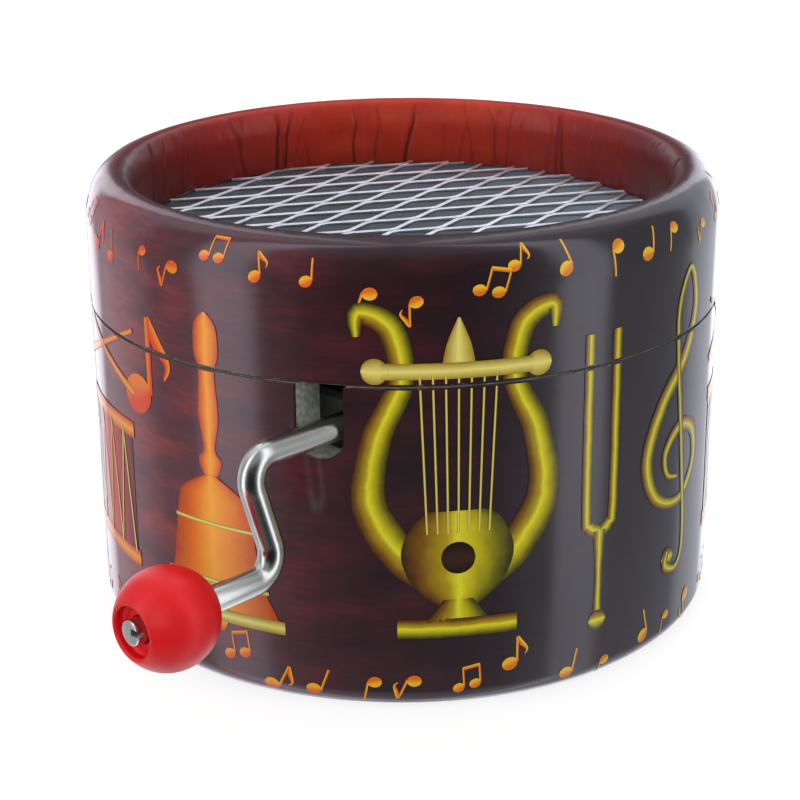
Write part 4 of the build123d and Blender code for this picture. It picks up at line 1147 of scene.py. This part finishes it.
# The wire from the works to its tip, in mm: corners, bend radius at its middle, and the staked tip
WIRE_RADIUS = 1.0
WIRE_BEND = 2.0
WIRE_CORNERS = ((13.73, 7.8, 22.7), (13.73, -29.6, 22.7), (15.187, -27.84, 13.9), (15.187, -41.3, 13.9))
WIRE_SIDES = 40
TIP_RADIUS = 0.94
TIP_LENGTH = 1.0
TIP_SHOULDER = 0.15
TIP_ROUND = 0.13
NOTCH_DEPTH = 0.45


def bent_path(corners, bend, steps):
    """Points along straight runs joined by arcs of one bend radius."""
    points = [Vector(corners[0])]
    for before, corner, after in zip(corners, corners[1:], corners[2:]):
        corner = Vector(corner)
        back = (Vector(before) - corner).normalized()
        ahead = (Vector(after) - corner).normalized()
        half = back.angle(ahead) / 2
        middle = corner + (back + ahead).normalized() * bend / sin(half)
        first = corner + back * bend / tan(half) - middle
        last = corner + ahead * bend / tan(half) - middle
        turn = first.angle(last)
        for step in range(steps + 1):
            share = step / steps
            points.append(middle + (first * sin((1 - share) * turn) + last * sin(share * turn)) / sin(turn))
    return points + [Vector(corners[-1])]


def notch_cutter():
    """Wedge that a staking chisel leaves in the wire's tip, open to the ball's outer side."""
    x, y, z = WIRE_CORNERS[-1]
    mouth = -0.2
    section = ((mouth, -0.2), (mouth, 0.5), (NOTCH_DEPTH, 0.2), (NOTCH_DEPTH, 0.1))
    vertices = [(x + across, y + depth, z + up) for across in (0.12, 1.4) for depth, up in section]
    faces = [(0, 1, 2, 3), (7, 6, 5, 4)] + [(n, (n + 1) % 4, 4 + (n + 1) % 4, 4 + n) for n in range(4)]
    return outward(new_mesh_object("notch_cutter", vertices, faces, smooth=False))


def crank_wire(material):
    """The crank's one wire, bent twice, with its rounded and staked tip."""
    path = bent_path(WIRE_CORNERS, WIRE_BEND, 14)
    end = path.pop()
    stations = [(point, WIRE_RADIUS) for point in path]
    tip = [(TIP_LENGTH + TIP_SHOULDER, WIRE_RADIUS), (TIP_LENGTH, TIP_RADIUS)]
    for step in range(6):
        turn = step / 5 * pi / 2
        tip.append((TIP_ROUND * (1 - sin(turn)), TIP_RADIUS - TIP_ROUND * (1 - cos(turn))))
    stations += [(end + Vector((0, behind, 0)), radius) for behind, radius in tip]
    vertices, faces = [], []
    aim = Vector((0, -1, 0))
    side = Vector((1, 0, 0))
    for n, (point, radius) in enumerate(stations):
        ahead, behind = stations[min(n + 1, len(stations) - 1)][0], stations[max(n - 1, 0)][0]
        turned = (ahead - behind).normalized()
        side = (aim.rotation_difference(turned) @ side).normalized()
        aim = turned
        up = side.cross(aim)
        for step in range(WIRE_SIDES):
            angle = 2 * pi * step / WIRE_SIDES
            vertices.append(point + (side * cos(angle) + up * sin(angle)) * radius)
    last = (len(stations) - 1) * WIRE_SIDES
    for first in range(0, last, WIRE_SIDES):
        for step in range(WIRE_SIDES):
            here, there = first + step, first + (step + 1) % WIRE_SIDES
            faces.append((here, there, there + WIRE_SIDES, here + WIRE_SIDES))
    faces += [tuple(range(WIRE_SIDES)), tuple(range(last + WIRE_SIDES - 1, last - 1, -1))]
    made = outward(new_mesh_object("crank_wire_bent", vertices, faces, material))
    cut_away(made, notch_cutter())
    made.data.polygons.foreach_set("use_smooth", [True] * len(made.data.polygons))
    return outward(made, radians(30))


# ---------------------------------------------------------------- stage

def build_floor():
    """A pale floor: white to the camera but for the object's shadow, and clear to what mirrors."""
    half = 3000.0
    material, tree, shader = new_material("white_sweep", Roughness=0.9)
    path = add_node(tree, "ShaderNodeLightPath")
    fill = add_node(tree, "ShaderNodeMath", {0: path.outputs["Is Camera Ray"], 1: 0.8}, operation="MULTIPLY")
    grain = add_node(tree, "ShaderNodeTexNoise", {
        "Vector": add_node(tree, "ShaderNodeTexCoord").outputs["Object"], "Scale": 40.0})
    tone = add_node(tree, "ShaderNodeValToRGB", {"Fac": grain}, stops=[(0.0, 0.3), (1.0, 0.32)])
    tree.links.new(tone.outputs["Color"], shader.inputs["Base Color"])
    shader.inputs["Emission Color"].default_value = (1.0, 1.0, 1.0, 1.0)
    tree.links.new(fill.outputs[0], shader.inputs["Emission Strength"])
    clear = add_node(tree, "ShaderNodeBsdfTransparent")
    seen = add_node(tree, "ShaderNodeMixShader", {
        "Fac": path.outputs["Is Glossy Ray"], 1: shader.outputs[0], 2: clear})
    tree.links.new(seen.outputs[0], tree.nodes["Material Output"].inputs["Surface"])
    floor_plane = new_mesh_object("floor", [(-half, -half, 0), (half, -half, 0), (half, half, 0),
                                            (-half, half, 0)], [(0, 1, 2, 3)], material, smooth=False)


# Tall soft panels that gloss and metal mirror: angle from the camera, half width, softness and strength
PANELS = ((-66.0, 11.0, 5.0, 1.35), (66.0, 9.5, 4.0, 1.25), (-154.0, 9.0, 3.0, 1.25), (160.0, 6.0, 3.0, 1.4),
          (138.0, 14.0, 6.0, 0.55), (-122.0, 16.0, 8.0, 0.35))
# Their gain near the table and above it
PANEL_GAINS = (0.8, 1.45)
# Light that they mirror: all round, and what the wall behind, the floor, the ceiling and the table add
ROOM_GLOW = 0.3
WALL_GLOW = -0.2
FLOOR_GLOW = 0.6
CEILING_GLOW = 0.35
TABLE_GLOW = 0.12
# Share of the light all round that is missing where the camera and its dark cloth stand
CAMERA_SHADE = 0.95


def build_room(scene, settings):
    """The room: white to the camera; to mirrors dim, darkest in front, with tall soft panels round it."""
    world = bpy.data.worlds.new("studio_room")
    scene.world = world
    world.use_nodes = True
    tree = world.node_tree
    background = tree.nodes["Background"]
    path = add_node(tree, "ShaderNodeLightPath")
    aim = add_node(tree, "ShaderNodeTexCoord").outputs["Generated"]
    level = add_node(tree, "ShaderNodeVectorMath", {0: aim, 1: (1.0, 1.0, 0.0)}, operation="MULTIPLY")
    bearing = add_node(tree, "ShaderNodeVectorMath", {0: level}, operation="NORMALIZE")
    climb = add_node(tree, "ShaderNodeSeparateXYZ", {"Vector": aim})
    depth = add_node(tree, "ShaderNodeMath", {0: climb.outputs["Z"], 1: -1.0}, operation="MULTIPLY")
    behind = add_node(tree, "ShaderNodeVectorMath", {0: bearing, 1: -FRONT}, operation="DOT_PRODUCT")
    ahead = add_node(tree, "ShaderNodeMath", {0: behind, 1: -1.0}, operation="MULTIPLY")
    high_up = add_node(tree, "ShaderNodeMapRange", {
        "Value": climb.outputs["Z"], "From Min": -0.1, "From Max": 0.2}, interpolation_type="SMOOTHSTEP")
    gain = add_node(tree, "ShaderNodeMapRange", {
        "Value": climb.outputs["Z"], "From Min": -0.5, "From Max": -0.3, "To Min": PANEL_GAINS[0],
        "To Max": PANEL_GAINS[1]}, interpolation_type="SMOOTHSTEP")
    # each glow: what it depends on, where it starts and is full, its strength, and the share of it that shows
    glows = [
        (ahead, cos(radians(55)), cos(radians(25)), -CAMERA_SHADE * ROOM_GLOW, 1.0),
        (behind, 0.2, 0.8, WALL_GLOW, high_up),
        (depth, 0.3, 0.4, TABLE_GLOW, 1.0),
        (depth, 0.5, 0.75, FLOOR_GLOW, 1.0),
        (climb.outputs["Z"], 0.5, 0.8, CEILING_GLOW, 1.0),
    ]
    facing = atan2(FRONT.y, FRONT.x)
    for turn, half, softness, strength in PANELS:
        middle = (cos(facing + radians(turn)), sin(facing + radians(turn)), 0.0)
        near = add_node(tree, "ShaderNodeVectorMath", {0: bearing, 1: middle}, operation="DOT_PRODUCT")
        glows.append((near, cos(radians(half + softness)), cos(radians(half - softness)), strength, gain))
    total = ROOM_GLOW
    for value, start, full, strength, share in glows:
        ramp = add_node(tree, "ShaderNodeMapRange", {
            "Value": value, "From Min": start, "From Max": full, "To Max": strength},
            interpolation_type="SMOOTHSTEP")
        total = add_node(tree, "ShaderNodeMath", {0: ramp, 1: share, 2: total}, operation="MULTIPLY_ADD")
    mirrored_room = add_node(tree, "ShaderNodeMix", {
        "Factor": path.outputs["Is Glossy Ray"], "A": settings.ambient, "B": total}, data_type="FLOAT")
    seen = add_node(tree, "ShaderNodeMix", {
        "Factor": path.outputs["Is Camera Ray"], "A": mirrored_room, "B": 1.0}, data_type="FLOAT")
    # daylight from the windows is a little blue in what mirrors
    tint = add_node(tree, "ShaderNodeMix", {
        "Factor": path.outputs["Is Glossy Ray"], "A": (1.0, 1.0, 1.0, 1.0), "B": linear("#f1f2ff")},
        data_type="RGBA")
    tree.links.new(tint.outputs[2], background.inputs["Color"])
    tree.links.new(seen.outputs[0], background.inputs["Strength"])


def softbox(scene, name, azimuth, elevation, distance, width, height, power):
    """A soft light that faces the object; azimuth is counted from +X in degrees."""
    lamp = bpy.data.lights.new(name, "AREA")
    lamp.shape = "RECTANGLE"
    lamp.size = width
    lamp.size_y = height
    lamp.energy = power
    made = bpy.data.objects.new(name, lamp)
    around, up = radians(azimuth), radians(elevation)
    away = Vector((cos(around) * cos(up), sin(around) * cos(up), sin(up)))
    middle = Vector((0.0, 0.0, RIM_TOP / 2 * MM))
    turned = away.to_track_quat("Z", "Y").to_matrix().to_4x4()
    made.matrix_world = Matrix.Translation(middle + away * distance) @ turned
    made.visible_camera = False
    made.visible_glossy = False
    scene.collection.objects.link(made)


# Lamps: name, angle from the camera, elevation, distance, width and height in metres, and setting
LAMPS = (
    ("left_box", -70, 14, 0.55, 0.17, 0.5, "side_power"),
    ("right_box", 69, 14, 0.55, 0.21, 0.5, "side_power"),
    ("top_box", 165, 62, 0.6, 0.6, 0.45, "top_power"),
    ("front_fill", -12, 24, 0.7, 0.5, 0.4, "fill_power"),
)


def build_lights(scene, settings):
    """Two tall side boxes, a broad one overhead and a weak fill beside the camera."""
    facing = degrees(atan2(FRONT.y, FRONT.x))
    for name, turn, elevation, distance, width, height, power in LAMPS:
        softbox(scene, name, facing + turn, elevation, distance, width, height, getattr(settings, power))


def build_camera(scene):
    """The camera at the photograph's viewing angle."""
    camera = bpy.data.cameras.new("camera")
    camera.lens = CAMERA_LENS
    camera.sensor_width = CAMERA_SENSOR
    camera.clip_start = 0.005
    made = bpy.data.objects.new("camera", camera)
    aim = CAMERA_AIM.normalized()
    right = aim.cross(CAMERA_UP).normalized()
    up = right.cross(aim)
    made.matrix_world = Matrix((
        (right.x, up.x, -aim.x, CAMERA_PLACE.x),
        (right.y, up.y, -aim.y, CAMERA_PLACE.y),
        (right.z, up.z, -aim.z, CAMERA_PLACE.z),
        (0, 0, 0, 1)))
    scene.collection.objects.link(made)
    scene.camera = made


# ---------------------------------------------------------------- operators

def finish_piece(made, body, slot, *nodes):
    """Ties a finished piece to its body and hides the CAD nodes that it stands for; its record slot is not
    used.
    """
    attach(made, body)
    if nodes:
        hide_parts(*nodes)


def dress(material, *nodes):
    """Gives CAD nodes a finished material."""
    for node in nodes:
        slots = frame["nodes"][node].data.materials
        slots.clear()
        slots.append(material)


class MUSICBOX_OT_papers(bpy.types.Operator):
    """Printed papers of the lid, with its pleated turned-in edge, and of the body"""

    bl_idname = "musicbox.papers"
    bl_label = "Papers"

    def execute(self, context):
        settings = context.scene.musicbox_paper
        material = printed_paper()
        finish_piece(lid_paper(settings, material), "lid", "printed_paper", "lid_wrap")
        finish_piece(body_paper(material), "body", "printed_paper", "body_wrap")
        return {"FINISHED"}


class MUSICBOX_OT_print(bpy.types.Operator):
    """Printed motifs and large notes on the lid and the body"""

    bl_idname = "musicbox.print"
    bl_label = "Printed Motifs"

    def execute(self, context):
        inks = {ink: printed_ink(name, stops) for ink, (name, stops) in INKS.items()}
        inks["note"] = note_ink()
        for ink, strokes in printed_strokes().items():
            for body, low, high in PRINT_SPANS:
                made = stroke_sheet(f"{ink}_print_{body}", strokes, low, high, inks[ink])
                if made:
                    finish_piece(made, body, "printed_paper")
        return {"FINISHED"}


class MUSICBOX_OT_note_rows(bpy.types.Operator):
    """Rows of small notes under the rim and above the foot"""

    bl_idname = "musicbox.note_rows"
    bl_label = "Note Rows"

    def execute(self, context):
        settings = context.scene.musicbox_print
        shapes = bpy.data.collections.new("note_shapes")
        for name, strokes in (("quaver", single_note(2.3)), ("crotchet", plain_note(2.2)),
                              ("pair", paired_notes(1.9)), ("hanging_crotchet", hanging(plain_note(2.1))),
                              ("hanging_quaver", hanging(single_note(2.2)))):
            shapes.objects.link(flat_note(name, strokes))
        profile = wall_profile()
        ink = bpy.data.materials["note_ink"]
        tree = note_tree()
        for body, low, high, seed in NOTE_ROWS:
            made = grow(f"notes_{body}", tree, {
                "Notes": shapes, "Profile": profile, "Radius": SHELL_RADIUS * MM,
                "Count": settings.note_count, "Low": low * MM, "High": high * MM,
                "Size": settings.note_size, "Seed": settings.seed + seed, "Ink": ink})
            made.data.polygons.foreach_set("use_smooth", [True] * len(made.data.polygons))
            finish_piece(made, body, "printed_paper")
        bpy.data.objects.remove(profile)
        for shape in shapes.objects[:]:
            bpy.data.objects.remove(shape)
        bpy.data.collections.remove(shapes)
        return {"FINISHED"}


class MUSICBOX_OT_grille(bpy.types.Operator):
    """Expanded metal in the lid"""

    bl_idname = "musicbox.grille"
    bl_label = "Grille"

    def execute(self, context):
        settings = context.scene.musicbox_grille
        # rolled aluminium, cut and drawn bright: a pale, slightly satin glint
        material = metal("bright_rolled_aluminium", ("#eceff1", "#fafbfb"), 0.5, grain=1400.0)
        height = FILM_TOP + settings.rise / 2 + GRILLE_CLEARANCE
        shift = (LATTICE_SHIFT[0] * MM, LATTICE_SHIFT[1] * MM, 0.0)
        made = grow("grille_strands", grille_tree(), {
            "Long Way": settings.long_way * MM, "Short Way": settings.short_way * MM,
            "Bond": settings.bond * MM, "Strand Width": settings.strand_width * MM,
            "Strand Thickness": settings.strand_thickness * MM, "Rise": settings.rise * MM,
            "Lean": settings.lean, "Turn": settings.turn, "Radius": (FILM_RADIUS - GRILLE_MARGIN) * MM,
            "Height": height * MM, "Shift": shift, "Metal": material})
        finish_piece(outward(made), "lid", "grille_aluminium", "grille")
        dress(smoke_film(), "film_disc")
        return {"FINISHED"}


class MUSICBOX_OT_crank(bpy.types.Operator):
    """Nickel-plated crank wire and its red ball"""

    bl_idname = "musicbox.crank"
    bl_label = "Crank"

    def execute(self, context):
        settings = context.scene.musicbox_knob
        # nickel plate over drawn wire: faintly green-grey, its bands soft at their edges
        nickel = metal("satin_nickel_plate", ("#c3c4ba", "#d4d5cc"), 0.25, grain=700.0,
                       stretch=(1.0, 0.12, 1.0), bump=0.06)
        finish_piece(crank_wire(nickel), "crank", "bright_nickel", "crank_wire")
        # moulded red plastic: saturated, with broad soft highlights
        plastic = moulded_plastic("moulded_red_plastic", ("#d8030c", "#e00710"), 0.42)
        finish_piece(knob_ball(settings, plastic), "knob", "red_plastic", "knob")
        return {"FINISHED"}


class MUSICBOX_OT_works(bpy.types.Operator):
    """Finishes of the card, the base and the works inside"""

    bl_idname = "musicbox.works"
    bl_label = "Card and Works"

    def execute(self, context):
        dress(grey_board(), "lid_tube", "rim_ring", "body_tube", "neck_ring", "support_ring")
        dress(black_paper(), "base_disc")
        # zinc-plated steel: bluish grey satin
        dress(metal("zinc_plated_steel", ("#b4b8ba", "#cdd0d0"), 0.3), "bracket_screws", "base_screws",
              "comb_screws", "shaft_collar")
        # painted light: the plate behind the slot gets a pale matt grey moulded-plastic finish, so that it
        # reads lit inside the dark slot
        dress(moulded_plastic("moulded_grey_acetal", ("#a7aba7", "#b8bbb7"), 0.5), "crank_bracket")
        # pressure-cast zinc: dull grey skin
        dress(metal("cast_zinc", ("#8d9093", "#a3a6a8"), 0.45, grain=500.0, bump=0.3), "bedplate")
        # hardened spring steel, ground: darker grey with lines along the teeth
        dress(metal("ground_spring_steel", ("#9a9ca0", "#b9bbbd"), 0.25, stretch=(8.0, 0.4, 1.0)), "comb")
        dress(metal("cast_lead", ("#6f7276", "#83868a"), 0.55, bump=0.3), "tuning_weights")
        # turned brass: warm yellow with rings
        dress(metal("turned_brass", ("#c39a46", "#dcb863"), 0.22, stretch=(0.3, 6.0, 6.0)), "pinned_cylinder",
              "left_cylinder_cap", "right_cylinder_cap", "cylinder_arbor", "front_bushing", "rear_bushing")
        dress(moulded_plastic("moulded_white_nylon", ("#dedcd2", "#ebe9e0"), 0.4), "worm_wheel", "worm")
        return {"FINISHED"}


class MUSICBOX_OT_stage(bpy.types.Operator):
    """Floor, softboxes, room light and camera"""

    bl_idname = "musicbox.stage"
    bl_label = "Stage"

    def execute(self, context):
        settings = context.scene.musicbox_studio
        scene = context.scene
        build_floor()
        build_room(scene, settings)
        build_lights(scene, settings)
        build_camera(scene)
        scene.view_settings.view_transform = "Standard"
        return {"FINISHED"}


class MUSICBOX_PT_panel(bpy.types.Panel):
    """Pieces and settings of the music box"""

    bl_idname = "MUSICBOX_PT_panel"
    bl_label = "Music Box"
    bl_space_type = "VIEW_3D"
    bl_region_type = "UI"
    bl_category = "Music Box"

    def draw(self, context):
        for operator in OPERATORS:
            self.layout.operator(operator.bl_idname)
        for group, attribute in SETTINGS.items():
            box = self.layout.box()
            box.label(text=group.__doc__)
            for name in group.__annotations__:
                box.prop(getattr(context.scene, attribute), name)


OPERATORS = (
    MUSICBOX_OT_papers,
    MUSICBOX_OT_print,
    MUSICBOX_OT_note_rows,
    MUSICBOX_OT_grille,
    MUSICBOX_OT_crank,
    MUSICBOX_OT_works,
    MUSICBOX_OT_stage,
)
SETTINGS = {
    PaperSettings: "musicbox_paper",
    GrilleSettings: "musicbox_grille",
    PrintSettings: "musicbox_print",
    KnobSettings: "musicbox_knob",
    StudioSettings: "musicbox_studio",
}


def register():
    """Registers the settings, the operators and the panel."""
    for group, attribute in SETTINGS.items():
        bpy.utils.register_class(group)
        setattr(bpy.types.Scene, attribute, PointerProperty(type=group))
    for operator in OPERATORS:
        bpy.utils.register_class(operator)
    bpy.utils.register_class(MUSICBOX_PT_panel)


def unregister():
    """Takes back what register added."""
    bpy.utils.unregister_class(MUSICBOX_PT_panel)
    for operator in reversed(OPERATORS):
        bpy.utils.unregister_class(operator)
    for group, attribute in SETTINGS.items():
        delattr(bpy.types.Scene, attribute)
        bpy.utils.unregister_class(group)


def main():
    """Registers the operators and builds every piece."""
    register()
    for operator in OPERATORS:
        group, name = operator.bl_idname.split(".")
        getattr(getattr(bpy.ops, group), name)()


if __name__ == "__main__":
    main()
